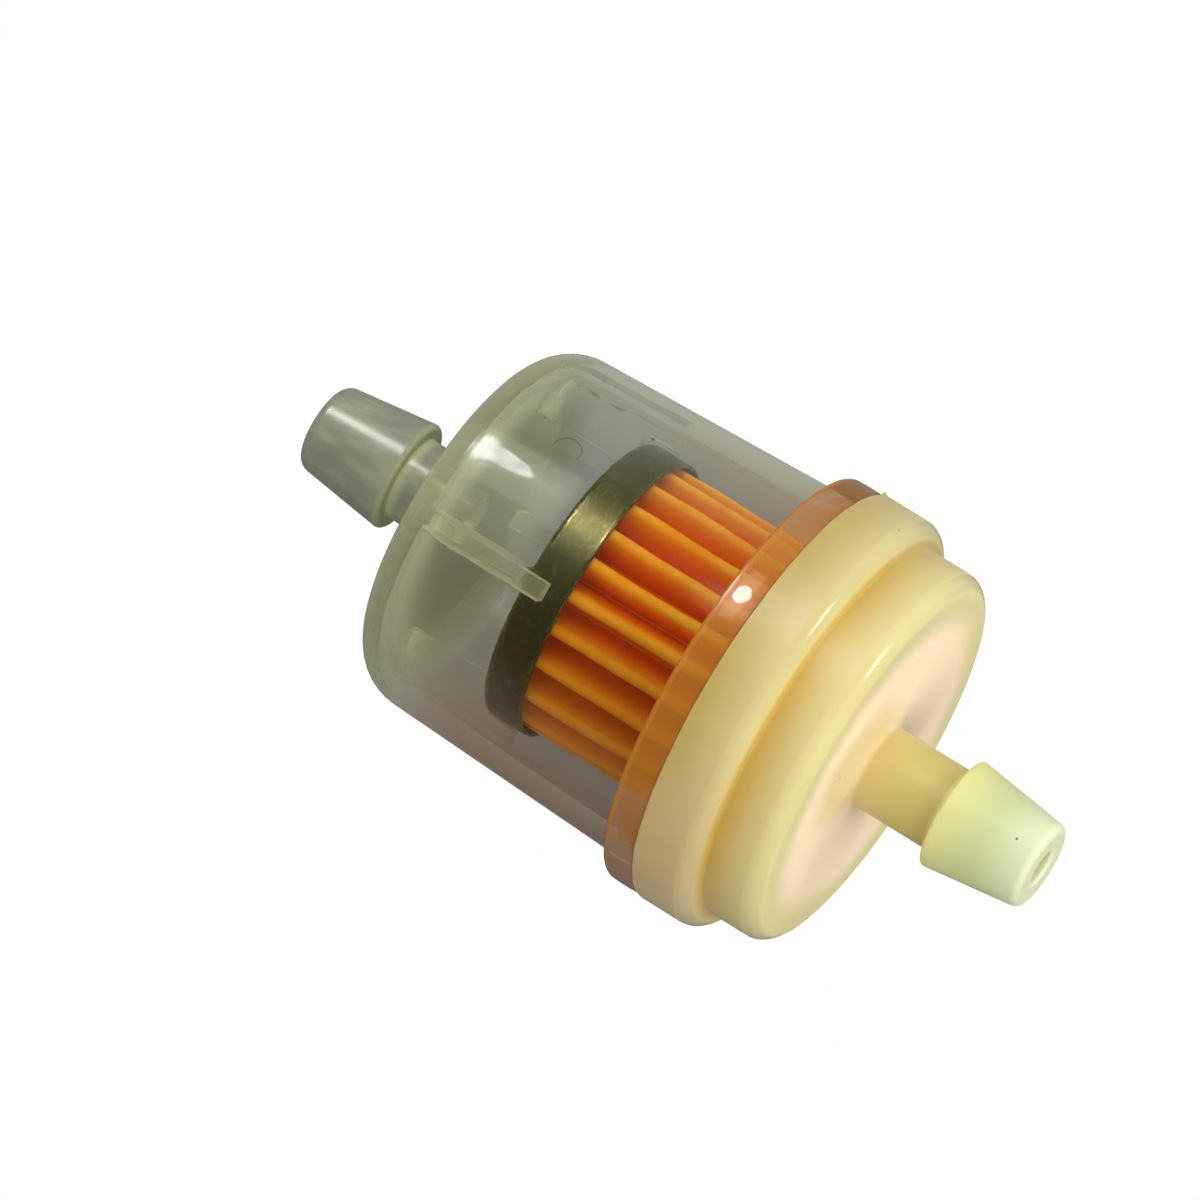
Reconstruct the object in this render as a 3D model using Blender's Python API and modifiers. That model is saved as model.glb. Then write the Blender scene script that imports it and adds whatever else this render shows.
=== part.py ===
"""Inline fuel filter, in metres with +Z up.

Fuel flows along +X: in through the nipple of the clear bowl, through the pleated paper from
outside to inside, and out through the nipple of the cream cap. Bowl and cap are turned forms
welded flange to flange. The origin is on the axis, halfway between the two nipple tips.
"""

import math

import bmesh
import bpy
from mathutils import Matrix, Vector

# Driving sizes, in metres
CONTACT_GAP = 0.0003
BOWL_MOUTH_RADIUS = 0.0137
FLANGE_WIDTH = 0.0013
FLANGE_OVERHANG = 0.0001
BOWL_FLANGE_THICKNESS = 0.0025
BOWL_FLANGE_EDGE = 0.0004
BOWL_LENGTH = 0.0243
BOWL_TAPER = 0.0009
BOWL_CORNER_RADIUS = 0.0037
BOWL_WALL = 0.0015
BOWL_END_WALL = 0.0016
CAP_FLANGE_THICKNESS = 0.0041
CAP_FLANGE_EDGE = 0.0012
BOSS_HEIGHT = 0.0084
BOSS_INSET = 0.0001
BOSS_CORNER_RADIUS = 0.0013
BOSS_ROOT_FILLET = 0.0003
CAP_WALL = 0.0015
CAP_END_WALL = 0.0016
NIPPLE_BORE_RADIUS = 0.0018
NIPPLE_NECK_RADIUS = 0.0029
NIPPLE_ROOT_FILLET = 0.0005
BARB_RADIUS = 0.0039
BARB_TIP_RADIUS = 0.0030
INLET_TIP_ROUND = 0.0009
OUTLET_TIP_ROUND = 0.0005
BARB_BACK_ROUND = 0.0002
BARB_LENGTH = 0.0069
INLET_NECK_LENGTH = 0.0035
OUTLET_NECK_LENGTH = 0.0060

# The filter element; angles round the axis run from +Y towards +Z
CHANNEL_WIDTH = 0.0020
END_CAP_SHEET = 0.00025
END_CAP_RIM = 0.0031
END_CAP_CORNER = 0.0006
END_CAP_STANDOFF = 0.0076
ADHESIVE_THICKNESS = 0.0008
PLEATS = 24
PLEAT_PHASE = math.radians(13.8)
PLEAT_DEPTH = 0.0031
PLEAT_CLEARANCE = 0.00025
PAPER_THICKNESS = 0.0004
OUTER_BEND_RADIUS = 0.00045
INNER_BEND_RADIUS = 0.00035
BASE_RING_LIP = 0.0004

# The four fins inside the bowl, which hold and centre the metal cap
FIN_COUNT = 4
FIN_ANGLE = math.radians(31.0)
FIN_THICKNESS = 0.0013
FIN_DEPTH = 0.0035
FIN_OVERLAP = 0.0018

# How finely round shapes are cut
TURN_FACETS = 48
FLAT_BELOW = math.pi / TURN_FACETS
CORNER_STEPS = 4
EDGE_STEPS = 3
SMOOTH_ANGLE = math.radians(35.0)
MERGE_DISTANCE = 1e-6

# Heights along the axis, measured from the weld seam and positive towards the outlet
BOWL_SEAM_FACE = -CONTACT_GAP / 2
CAP_SEAM_FACE = CONTACT_GAP / 2
BOWL_END_FACE = -BOWL_LENGTH
BOWL_FLOOR = BOWL_END_FACE + BOWL_END_WALL
INLET_BARB_BACK = BOWL_END_FACE - INLET_NECK_LENGTH
INLET_TIP = INLET_BARB_BACK - BARB_LENGTH
BOSS_FACE = BOSS_HEIGHT
CAP_FLOOR = BOSS_FACE - CAP_END_WALL
OUTLET_BARB_BACK = BOSS_FACE + OUTLET_NECK_LENGTH
OUTLET_TIP = OUTLET_BARB_BACK + BARB_LENGTH
SEAM_PLACE = -(INLET_TIP + OUTLET_TIP) / 2
END_CAP_FACE = BOWL_FLOOR + END_CAP_STANDOFF
END_CAP_FLOOR = END_CAP_FACE + END_CAP_SHEET
END_ADHESIVE_BASE = END_CAP_FLOOR + CONTACT_GAP
PAPER_START = END_ADHESIVE_BASE + ADHESIVE_THICKNESS + CONTACT_GAP
BASE_ADHESIVE_TOP = CAP_FLOOR - CONTACT_GAP
PAPER_END = BASE_ADHESIVE_TOP - ADHESIVE_THICKNESS - CONTACT_GAP

# Radii that follow from the sizes above
BOWL_END_RADIUS = BOWL_MOUTH_RADIUS - BOWL_TAPER
BOWL_DRAFT = BOWL_TAPER / (BOWL_LENGTH - BOWL_FLANGE_THICKNESS)
FLANGE_RADIUS = BOWL_MOUTH_RADIUS + FLANGE_WIDTH
CAP_FLANGE_RADIUS = FLANGE_RADIUS + FLANGE_OVERHANG
BOSS_RADIUS = BOWL_MOUTH_RADIUS - BOSS_INSET
CAVITY_RADIUS = BOSS_RADIUS - CAP_WALL
END_CAP_RADIUS = BOWL_MOUTH_RADIUS - BOWL_WALL - CHANNEL_WIDTH
PAPER_OUTER_RADIUS = END_CAP_RADIUS - END_CAP_SHEET - PLEAT_CLEARANCE
PAPER_INNER_RADIUS = PAPER_OUTER_RADIUS - PLEAT_DEPTH
FIN_PRONG_RADIUS = END_CAP_RADIUS + CONTACT_GAP


def clear_scene():
    """Remove whatever the file holds."""
    for obj in list(bpy.data.objects):
        bpy.data.objects.remove(obj, do_unlink=True)


def new_collection(name):
    """Make a collection under the scene's own."""
    collection = bpy.data.collections.new(name)
    bpy.context.scene.collection.children.link(collection)
    return collection


def new_material(name, color, roughness, metallic=0.0, alpha=1.0):
    """Make a Principled material from its colour, roughness and metallic value."""
    material = bpy.data.materials.new(name)
    material.use_nodes = True
    shader = material.node_tree.nodes["Principled BSDF"]
    shader.inputs["Base Color"].default_value = (*color, 1.0)
    shader.inputs["Roughness"].default_value = roughness
    shader.inputs["Metallic"].default_value = metallic
    shader.inputs["Alpha"].default_value = alpha
    material.diffuse_color = (*color, alpha)
    return material


def arc(center_radius, center_height, radius, start, end, steps):
    """Points (radius, height) on an arc, its angles measured from the outward radius."""
    points = []
    for step in range(steps + 1):
        angle = math.radians(start + (end - start) * step / steps)
        points.append((center_radius + radius * math.cos(angle),
                       center_height + radius * math.sin(angle)))
    return points


def link_mesh(name, mesh, collection, parent, material=None):
    """Put a mesh in a collection as an object that stands on the filter's axis."""
    obj = bpy.data.objects.new(name, mesh)
    collection.objects.link(obj)
    obj.parent = parent
    if material is not None:
        mesh.materials.append(material)
    return obj


def turned(name, profile, closed, collection, parent, material):
    """Turn a profile of (radius, height) points, listed down its outer side, about the axis."""
    mesh = bpy.data.meshes.new(name)
    vertices = [(radius, 0.0, height) for radius, height in profile]
    edges = [(index, index + 1) for index in range(len(profile) - 1)]
    if closed:
        edges.append((len(profile) - 1, 0))
    mesh.from_pydata(vertices, edges, [])
    obj = link_mesh(name, mesh, collection, parent, material)
    obj.rotation_euler.z = FLAT_BELOW
    screw = obj.modifiers.new("turn", "SCREW")
    screw.axis = "Z"
    screw.steps = TURN_FACETS
    screw.render_steps = TURN_FACETS
    screw.use_merge_vertices = True
    screw.merge_threshold = MERGE_DISTANCE
    return obj


def settle(obj):
    """Keep an object's evaluated mesh, shaded smooth apart from its sharp edges."""
    graph = bpy.context.evaluated_depsgraph_get()
    mesh = bpy.data.meshes.new_from_object(obj.evaluated_get(graph))
    mesh.shade_smooth()
    mesh.set_sharp_from_angle(angle=SMOOTH_ANGLE)
    obj.modifiers.clear()
    obj.data = mesh


def inner_wall_radius(height):
    """The bowl's inner radius at a height, on its drafted wall."""
    return BOWL_MOUTH_RADIUS - BOWL_WALL + BOWL_DRAFT * (height + BOWL_FLANGE_THICKNESS)


def bowl_corner_center():
    """Centre (radius, height) of the rounded corner between the bowl's wall and its end."""
    height = BOWL_END_FACE + BOWL_CORNER_RADIUS
    return BOWL_END_RADIUS - BOWL_CORNER_RADIUS, height


def barb_outer(back, direction):
    """A hose nipple's outer profile from its root at the wall to its tip.

    back is the height of the barb's shoulder, and direction is +1 where the nipple points up.
    """
    neck = INLET_NECK_LENGTH if direction < 0 else OUTLET_NECK_LENGTH
    tip_round = INLET_TIP_ROUND if direction < 0 else OUTLET_TIP_ROUND
    root = back - direction * neck
    tip = back + direction * BARB_LENGTH
    fillet = arc(NIPPLE_NECK_RADIUS + NIPPLE_ROOT_FILLET, root + direction * NIPPLE_ROOT_FILLET,
                 NIPPLE_ROOT_FILLET, 180 + direction * 90, 180, EDGE_STEPS)
    shoulder = arc(BARB_RADIUS - BARB_BACK_ROUND, back + direction * BARB_BACK_ROUND,
                   BARB_BACK_ROUND, -direction * 90, 0, EDGE_STEPS)
    nose = arc(BARB_TIP_RADIUS - tip_round, tip - direction * tip_round, tip_round, 0,
               direction * 90, EDGE_STEPS)
    neck_end = [(NIPPLE_NECK_RADIUS, back)]
    return fillet + neck_end + shoulder + nose


def bowl_profile():
    """The clear bowl's section, from the seam down outside and back up inside."""
    corner_radius, corner_height = bowl_corner_center()
    edge = BOWL_FLANGE_EDGE
    flange_back = -BOWL_FLANGE_THICKNESS
    points = [(FLANGE_RADIUS, BOWL_SEAM_FACE)]
    points += arc(FLANGE_RADIUS - edge, flange_back + edge, edge, 0, -90, EDGE_STEPS)
    points.append((BOWL_MOUTH_RADIUS, flange_back))
    points += arc(corner_radius, corner_height, BOWL_CORNER_RADIUS, 0, -90, 2 * CORNER_STEPS)
    points += barb_outer(INLET_BARB_BACK, -1)
    points.append((NIPPLE_BORE_RADIUS, INLET_TIP))
    points.append((NIPPLE_BORE_RADIUS, BOWL_FLOOR))
    inside = BOWL_CORNER_RADIUS - BOWL_WALL
    inner_height = BOWL_FLOOR + inside
    points += arc(inner_wall_radius(inner_height) - inside, inner_height, inside,
                  -90, 0, CORNER_STEPS)
    points.append((inner_wall_radius(BOWL_SEAM_FACE), BOWL_SEAM_FACE))
    return points


def fin_outline():
    """A fin's outline as (radius, height) points.

    Its broad part stands on the bowl's floor and stops short of the metal cap's face. Its
    prong goes on between the cap's rim and the wall. The outer side is sunk in the wall.
    """
    corner_radius, corner_height = bowl_corner_center()
    sink = BOWL_WALL / 2
    wall_round = BOWL_CORNER_RADIUS - sink
    stop = END_CAP_FACE - CONTACT_GAP
    prong_tip = END_CAP_FACE + FIN_OVERLAP
    broad_radius = inner_wall_radius(stop) - FIN_DEPTH
    points = [(broad_radius, BOWL_END_FACE + sink), (broad_radius, stop)]
    points += [(FIN_PRONG_RADIUS, stop), (FIN_PRONG_RADIUS, prong_tip)]
    points.append((inner_wall_radius(prong_tip) + sink, prong_tip))
    points += arc(corner_radius, corner_height, wall_round, 0, -90, 2 * CORNER_STEPS)
    return points


def add_fins(bowl, cutters, parent):
    """Join the four fins to the bowl's inside."""
    outline = bpy.data.curves.new("fin_outline", "CURVE")
    outline.dimensions = "2D"
    outline.fill_mode = "BOTH"
    outline.extrude = FIN_THICKNESS / 2
    points = fin_outline()
    spline = outline.splines.new("POLY")
    spline.points.add(len(points) - 1)
    for point, (radius, height) in zip(spline.points, points):
        point.co = (radius, height, 0.0, 1.0)
    spline.use_cyclic_u = True
    guide = bpy.data.objects.new("fin_outline", outline)
    cutters.objects.link(guide)
    bpy.context.view_layer.update()
    graph = bpy.context.evaluated_depsgraph_get()
    plate = bpy.data.meshes.new_from_object(guide.evaluated_get(graph))
    bpy.data.objects.remove(guide)

    fins = bmesh.new()
    stand_up = Matrix.Rotation(math.radians(90.0), 4, "X")
    for index in range(FIN_COUNT):
        angle = FIN_ANGLE + 2 * math.pi * index / FIN_COUNT
        copy = plate.copy()
        copy.transform(Matrix.Rotation(angle, 4, "Z") @ stand_up)
        fins.from_mesh(copy)
        bpy.data.meshes.remove(copy)
    bmesh.ops.remove_doubles(fins, verts=fins.verts, dist=MERGE_DISTANCE)
    bmesh.ops.recalc_face_normals(fins, faces=fins.faces)
    mesh = bpy.data.meshes.new("bowl_fins")
    fins.to_mesh(mesh)
    fins.free()
    bpy.data.meshes.remove(plate)

    helper = link_mesh("bowl_fins", mesh, cutters, parent)
    helper.hide_render = True
    helper.display_type = "WIRE"
    union = bowl.modifiers.new("fins", "BOOLEAN")
    union.operation = "UNION"
    union.object = helper


def cap_profile():
    """The cream cap's section, from the outlet tip down outside and back up inside."""
    tip_to_root = list(reversed(barb_outer(OUTLET_BARB_BACK, 1)))
    edge = CAP_FLANGE_EDGE
    flange_front = CAP_FLANGE_THICKNESS
    points = [(NIPPLE_BORE_RADIUS, OUTLET_TIP)] + tip_to_root
    points += arc(BOSS_RADIUS - BOSS_CORNER_RADIUS, BOSS_FACE - BOSS_CORNER_RADIUS,
                  BOSS_CORNER_RADIUS, 90, 0, CORNER_STEPS)
    fillet = BOSS_ROOT_FILLET
    points += arc(BOSS_RADIUS + fillet, flange_front + fillet, fillet, 180, 225, 1)
    points += arc(CAP_FLANGE_RADIUS - edge, flange_front - edge, edge, 90, 0, CORNER_STEPS)
    points.append((CAP_FLANGE_RADIUS, CAP_SEAM_FACE))
    points.append((inner_wall_radius(BOWL_SEAM_FACE), CAP_SEAM_FACE))
    points.append((CAVITY_RADIUS, CAP_FLOOR))
    points.append((NIPPLE_BORE_RADIUS, CAP_FLOOR))
    return points


def end_cap_profile():
    """The metal cup's section, from its floor up inside, over the rim and down outside."""
    corner = END_CAP_CORNER
    inner_corner = corner - END_CAP_SHEET
    rim = END_CAP_FACE + END_CAP_RIM
    inside = END_CAP_RADIUS - END_CAP_SHEET
    points = [(0.0, END_CAP_FLOOR)]
    points += arc(inside - inner_corner, END_CAP_FLOOR + inner_corner, inner_corner,
                  -90, 0, EDGE_STEPS)
    points += [(inside, rim), (END_CAP_RADIUS, rim)]
    points += arc(END_CAP_RADIUS - corner, END_CAP_FACE + corner, corner, 0, -90, EDGE_STEPS)
    points.append((0.0, END_CAP_FACE))
    return points


def end_adhesive_profile():
    """The adhesive disc in the metal cup."""
    radius = END_CAP_RADIUS - END_CAP_SHEET - CONTACT_GAP
    top = END_ADHESIVE_BASE + ADHESIVE_THICKNESS
    return [(0.0, top), (radius, top), (radius, END_ADHESIVE_BASE), (0.0, END_ADHESIVE_BASE)]


def base_adhesive_profile():
    """The adhesive ring between the paper's end and the cap's floor."""
    outer = PAPER_OUTER_RADIUS + BASE_RING_LIP
    inner = PAPER_INNER_RADIUS - BASE_RING_LIP
    bottom = BASE_ADHESIVE_TOP - ADHESIVE_THICKNESS
    return [(outer, BASE_ADHESIVE_TOP), (outer, bottom), (inner, bottom),
            (inner, BASE_ADHESIVE_TOP)]


def pleat_fold_points():
    """The paper's middle line round one turn.

    Each pleat is an outer bend and an inner bend, and its flanks are straight: they are the
    crossed tangents of the two bend circles. The bends' centres lie half a pleat apart.
    """
    outer_center = PAPER_OUTER_RADIUS - PAPER_THICKNESS / 2 - OUTER_BEND_RADIUS
    inner_center = PAPER_INNER_RADIUS + PAPER_THICKNESS / 2 + INNER_BEND_RADIUS
    half = math.pi / PLEATS
    outer = Vector((outer_center, 0.0))
    inner = Vector((inner_center * math.cos(half), inner_center * math.sin(half)))
    span = inner - outer
    spread = math.atan2(span.y, span.x)
    lean = math.acos((OUTER_BEND_RADIUS + INNER_BEND_RADIUS) / span.length)
    touch = spread - lean
    points = []
    for index in range(PLEATS):
        turn = PLEAT_PHASE + 2 * half * index
        for step in range(CORNER_STEPS + 1):
            angle = turn + touch * (2 * step / CORNER_STEPS - 1)
            points.append((outer_center * math.cos(turn) + OUTER_BEND_RADIUS * math.cos(angle),
                           outer_center * math.sin(turn) + OUTER_BEND_RADIUS * math.sin(angle)))
        valley = turn + half
        sweep = touch - half
        for step in range(CORNER_STEPS + 1):
            angle = valley + math.pi + sweep * (1 - 2 * step / CORNER_STEPS)
            points.append((inner_center * math.cos(valley) + INNER_BEND_RADIUS * math.cos(angle),
                           inner_center * math.sin(valley) + INNER_BEND_RADIUS * math.sin(angle)))
    return points


def pleated_paper(name, collection, parent, material):
    """Fold the strip into a tube of pleats and give it the paper's thickness."""
    ribbon = bpy.data.curves.new(name, "CURVE")
    ribbon.dimensions = "2D"
    ribbon.fill_mode = "NONE"
    ribbon.extrude = (PAPER_END - PAPER_START) / 2
    points = pleat_fold_points()
    spline = ribbon.splines.new("POLY")
    spline.points.add(len(points) - 1)
    for point, (across, up) in zip(spline.points, points):
        point.co = (across, up, 0.0, 1.0)
    spline.use_cyclic_u = True
    guide = bpy.data.objects.new(name, ribbon)
    collection.objects.link(guide)
    bpy.context.view_layer.update()
    graph = bpy.context.evaluated_depsgraph_get()
    mesh = bpy.data.meshes.new_from_object(guide.evaluated_get(graph))
    bpy.data.objects.remove(guide)
    mesh.transform(Matrix.Translation((0.0, 0.0, (PAPER_START + PAPER_END) / 2)))
    paper = link_mesh(name, mesh, collection, parent, material)
    solidify = paper.modifiers.new("thickness", "SOLIDIFY")
    solidify.thickness = PAPER_THICKNESS
    solidify.offset = 0.0
    solidify.use_even_offset = True
    return paper


def build():
    """Make the six pieces on one axis, laid along +X."""
    clear_scene()
    parts = new_collection("inline_fuel_filter")
    cutters = new_collection("cutters")
    axis = bpy.data.objects.new("flow_axis", None)
    parts.objects.link(axis)
    lay_down = Matrix.Rotation(math.radians(120.0), 4, Vector((1.0, 1.0, 1.0)))
    axis.matrix_world = Matrix.Translation((SEAM_PLACE, 0.0, 0.0)) @ lay_down

    clear = new_material("clear_smoked_plastic", (0.30, 0.31, 0.25), 0.08, alpha=0.45)
    cream = new_material("cream_plastic", (0.72, 0.64, 0.36), 0.35)
    paper = new_material("resin_paper", (0.72, 0.20, 0.03), 0.75)
    metal = new_material("end_cap_metal", (0.32, 0.30, 0.17), 0.35, metallic=1.0)
    glue = new_material("cured_adhesive", (0.62, 0.45, 0.22), 0.5)

    bowl = turned("clear_bowl", bowl_profile(), True, parts, axis, clear)
    add_fins(bowl, cutters, axis)
    made = [
        bowl,
        turned("outlet_cap", cap_profile(), True, parts, axis, cream),
        turned("element_end_cap", end_cap_profile(), False, parts, axis, metal),
        turned("end_cap_adhesive", end_adhesive_profile(), False, parts, axis, glue),
        turned("base_adhesive", base_adhesive_profile(), True, parts, axis, glue),
        pleated_paper("filter_paper", parts, axis, paper),
    ]
    bpy.context.view_layer.update()
    for obj in made:
        settle(obj)


build()
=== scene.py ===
"""The looks of an inline fuel filter, as a Blender add-on that is run as a script.

The add-on's properties are in metres. Inside the functions lengths are in millimetres: x runs
along the filter's axis in the direction of flow, and the radius is the distance from that
axis. Angles round the axis run from +Y towards +Z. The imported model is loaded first, as the
fixed frame.
"""

import math
from types import SimpleNamespace

import bpy
import numpy as np
from mathutils import Matrix, Vector


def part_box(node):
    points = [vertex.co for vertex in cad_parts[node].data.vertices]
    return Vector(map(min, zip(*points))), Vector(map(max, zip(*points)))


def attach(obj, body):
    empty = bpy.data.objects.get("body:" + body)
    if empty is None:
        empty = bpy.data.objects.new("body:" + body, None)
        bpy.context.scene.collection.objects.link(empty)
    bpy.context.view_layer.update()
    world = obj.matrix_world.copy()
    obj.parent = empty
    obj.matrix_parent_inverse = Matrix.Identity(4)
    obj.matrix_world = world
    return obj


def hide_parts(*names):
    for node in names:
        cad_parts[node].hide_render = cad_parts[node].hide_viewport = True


bl_info = {
    "name": "Inline fuel filter",
    "version": (1, 0, 0),
    "blender": (4, 5, 0),
    "location": "3D View > Sidebar > Fuel filter",
    "description": "Clear bowl, cream cap, pleated paper and metal cup of an inline fuel filter",
    "category": "Add Mesh",
}

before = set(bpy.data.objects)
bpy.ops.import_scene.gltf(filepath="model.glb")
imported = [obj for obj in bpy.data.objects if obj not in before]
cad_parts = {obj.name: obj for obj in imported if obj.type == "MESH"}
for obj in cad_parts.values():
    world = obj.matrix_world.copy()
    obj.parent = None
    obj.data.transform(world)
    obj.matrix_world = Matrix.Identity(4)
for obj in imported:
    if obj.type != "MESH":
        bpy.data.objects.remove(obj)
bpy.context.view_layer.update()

MM = 0.001
BOWL_LOW, BOWL_HIGH = (np.array(corner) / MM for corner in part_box("clear_bowl"))
CAP_LOW, CAP_HIGH = (np.array(corner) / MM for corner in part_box("outlet_cap"))
CUP_LOW, CUP_HIGH = (np.array(corner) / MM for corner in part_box("element_end_cap"))
PAPER_LOW, PAPER_HIGH = (np.array(corner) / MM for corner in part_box("filter_paper"))

# Places along the axis: the weld seam, the bowl's flange and end face, the cap's flange and
# end face, the back faces of the two barbs, and the cup's face and rim
SEAM = (BOWL_HIGH[0] + CAP_LOW[0]) / 2
FLANGE_BACK = SEAM - 2.5
END_FACE = SEAM - 24.3
INLET_BARB = END_FACE - 3.5
FLANGE_FRONT = SEAM + 4.14
OUTLET_FACE = SEAM + 8.4
OUTLET_BARB = OUTLET_FACE + 6.0
CUP_FACE, CUP_RIM = CUP_LOW[0], CUP_HIGH[0]

# The bowl's outer radius at its flange and at its end face, and the middle of the shoulder's
# rounding between the side wall and the end
MOUTH_RADIUS, END_RADIUS = 13.7, 12.8
WALL_DRAFT = (MOUTH_RADIUS - END_RADIUS) / (FLANGE_BACK - END_FACE)
SHOULDER_X = END_FACE + 3.75
SHOULDER_RADIUS = 9.4

# Radius on the bowl's floor where the fins begin, just inside their free edges, and the
# room that they leave round the cup
FLOOR_EDGE = 7.9
FIN_CLEARANCE = 0.3

# Room between the folds and the cup's rim
PAPER_CLEARANCE = 0.25

# Marks on the surface: place along the axis, radius, angle in degrees and size
BOWL_SPECKS = ((-12.8, 12.9, 56.6, 0.17), (-12.8, 12.9, 75.3, 0.14), (-6.5, 13.2, 61.4, 0.18),
               (-13.9, 12.8, 112.6, 0.12), (-10.4, 13.0, 172.3, 0.15))
HAIR = (-10.2, 13.0, 81.0, 0.95)
CAP_SPECKS = ((26.3, 3.2, 98.8, 0.12), (15.1, 6.5, 128.9, 0.09), (9.95, 15.05, 47.9, 0.10),
              (15.1, 3.65, 10.6, 0.08))

# Flashes of plastic on the cap's seam edge: angle and width in degrees, and height
SEAM_FLASHES = ((27.5, 1.1, 0.34), (29.8, 0.5, 0.16), (24.6, 0.6, 0.12))

# Angles round the axis, in degrees, of what differs from side to side: painted light on one fin,
# painted reflections in a light band and a veil, a smudge, painted shade on one side, a painted
# glow on the outlet face and the paper's joint
LIT_FIN = 121.0
LIGHT_BAND = 94.5
PAINTED_VEIL_MIDDLE = 104.0
SMUDGE = 56.0
SHADE_SIDE = 187.0
GLOW_ANGLE, GLOW_RADIUS = 121.4, 4.2
PLEAT_JOINT = 183.0

# Fins in the bowl, and columns of points round the axis between one fin and the next
FIN_COUNT = 4
COLUMNS_BETWEEN_FINS = 60
FIN_SECTOR = math.radians(5.5)
ROUND_STEPS = 6
SUPPORT = 0.09
SHARP_ANGLE = math.radians(50)


# Properties


def length_property(name, description, default):
    """A length in metres with a name and a description."""
    return bpy.props.FloatProperty(name=name, description=description, default=default,
                                   min=0.0, precision=5, subtype="DISTANCE", unit="LENGTH")


def angle_property(name, description, degrees):
    """An angle with a name and a description, its default given in degrees."""
    return bpy.props.FloatProperty(name=name, description=description,
                                   default=math.radians(degrees), subtype="ANGLE",
                                   unit="ROTATION")


def color_property(name, description, default):
    """A linear colour with a name and a description."""
    return bpy.props.FloatVectorProperty(name=name, description=description, default=default,
                                         size=3, min=0.0, max=1.0, subtype="COLOR")


class FilterSizes(bpy.types.PropertyGroup):
    """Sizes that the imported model's boxes don't give by themselves."""

    flange_radius: length_property("Flange radius", "Radius of the bowl's weld flange", 0.0150)
    mouth_radius: length_property("Mouth radius", "Bowl's outer radius at its flange",
                                  MOUTH_RADIUS * MM)
    end_radius: length_property("End radius", "Bowl's outer radius at its end face",
                                END_RADIUS * MM)
    bowl_wall: length_property("Bowl wall", "Thickness of the bowl's side wall", 0.0015)
    bowl_end_wall: length_property("Bowl end wall", "Thickness of the bowl's end", 0.0016)
    cap_radius: length_property("Cap radius", "Radius of the cap's weld flange", 0.0151)
    boss_radius: length_property("Boss radius", "Radius of the cap's boss", 0.0136)
    cap_wall: length_property("Cap wall", "Thickness of the cap's boss", 0.0015)
    cap_end_wall: length_property("Cap end wall", "Thickness of the cap's end", 0.0016)
    neck_radius: length_property("Neck radius", "Radius of both nipples' necks", 0.0029)
    barb_radius: length_property("Barb radius", "Radius of both barbs at their backs", 0.0039)
    tip_radius: length_property("Tip radius", "Radius of both barbs at their tips", 0.0030)
    inlet_bore: length_property("Inlet bore", "Radius of the inlet nipple's bore", 0.0018)
    outlet_bore: length_property("Outlet bore", "Radius of the outlet bore's mouth", 0.00115)
    fin_depth: length_property("Fin depth", "How far a fin stands in from the wall", 0.0035)
    fin_thickness: length_property("Fin thickness", "Thickness of each inner fin", 0.0013)
    cup_sheet: length_property("Cup sheet", "Thickness of the cup's metal", 0.00025)
    pleat_depth: length_property("Pleat depth", "Depth of each fold of the paper", 0.0031)
    paper_thickness: length_property("Paper thickness", "Thickness of the paper", 0.0004)
    pleats: bpy.props.IntProperty(name="Pleats", description="Number of folds in the paper",
                                  default=24, min=6, max=60)
    fin_angle: angle_property("Fin angle", "Angle of the first fin", 31.0)
    pleat_phase: angle_property("Pleat phase", "Angle of the first outer fold", 13.8)


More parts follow.
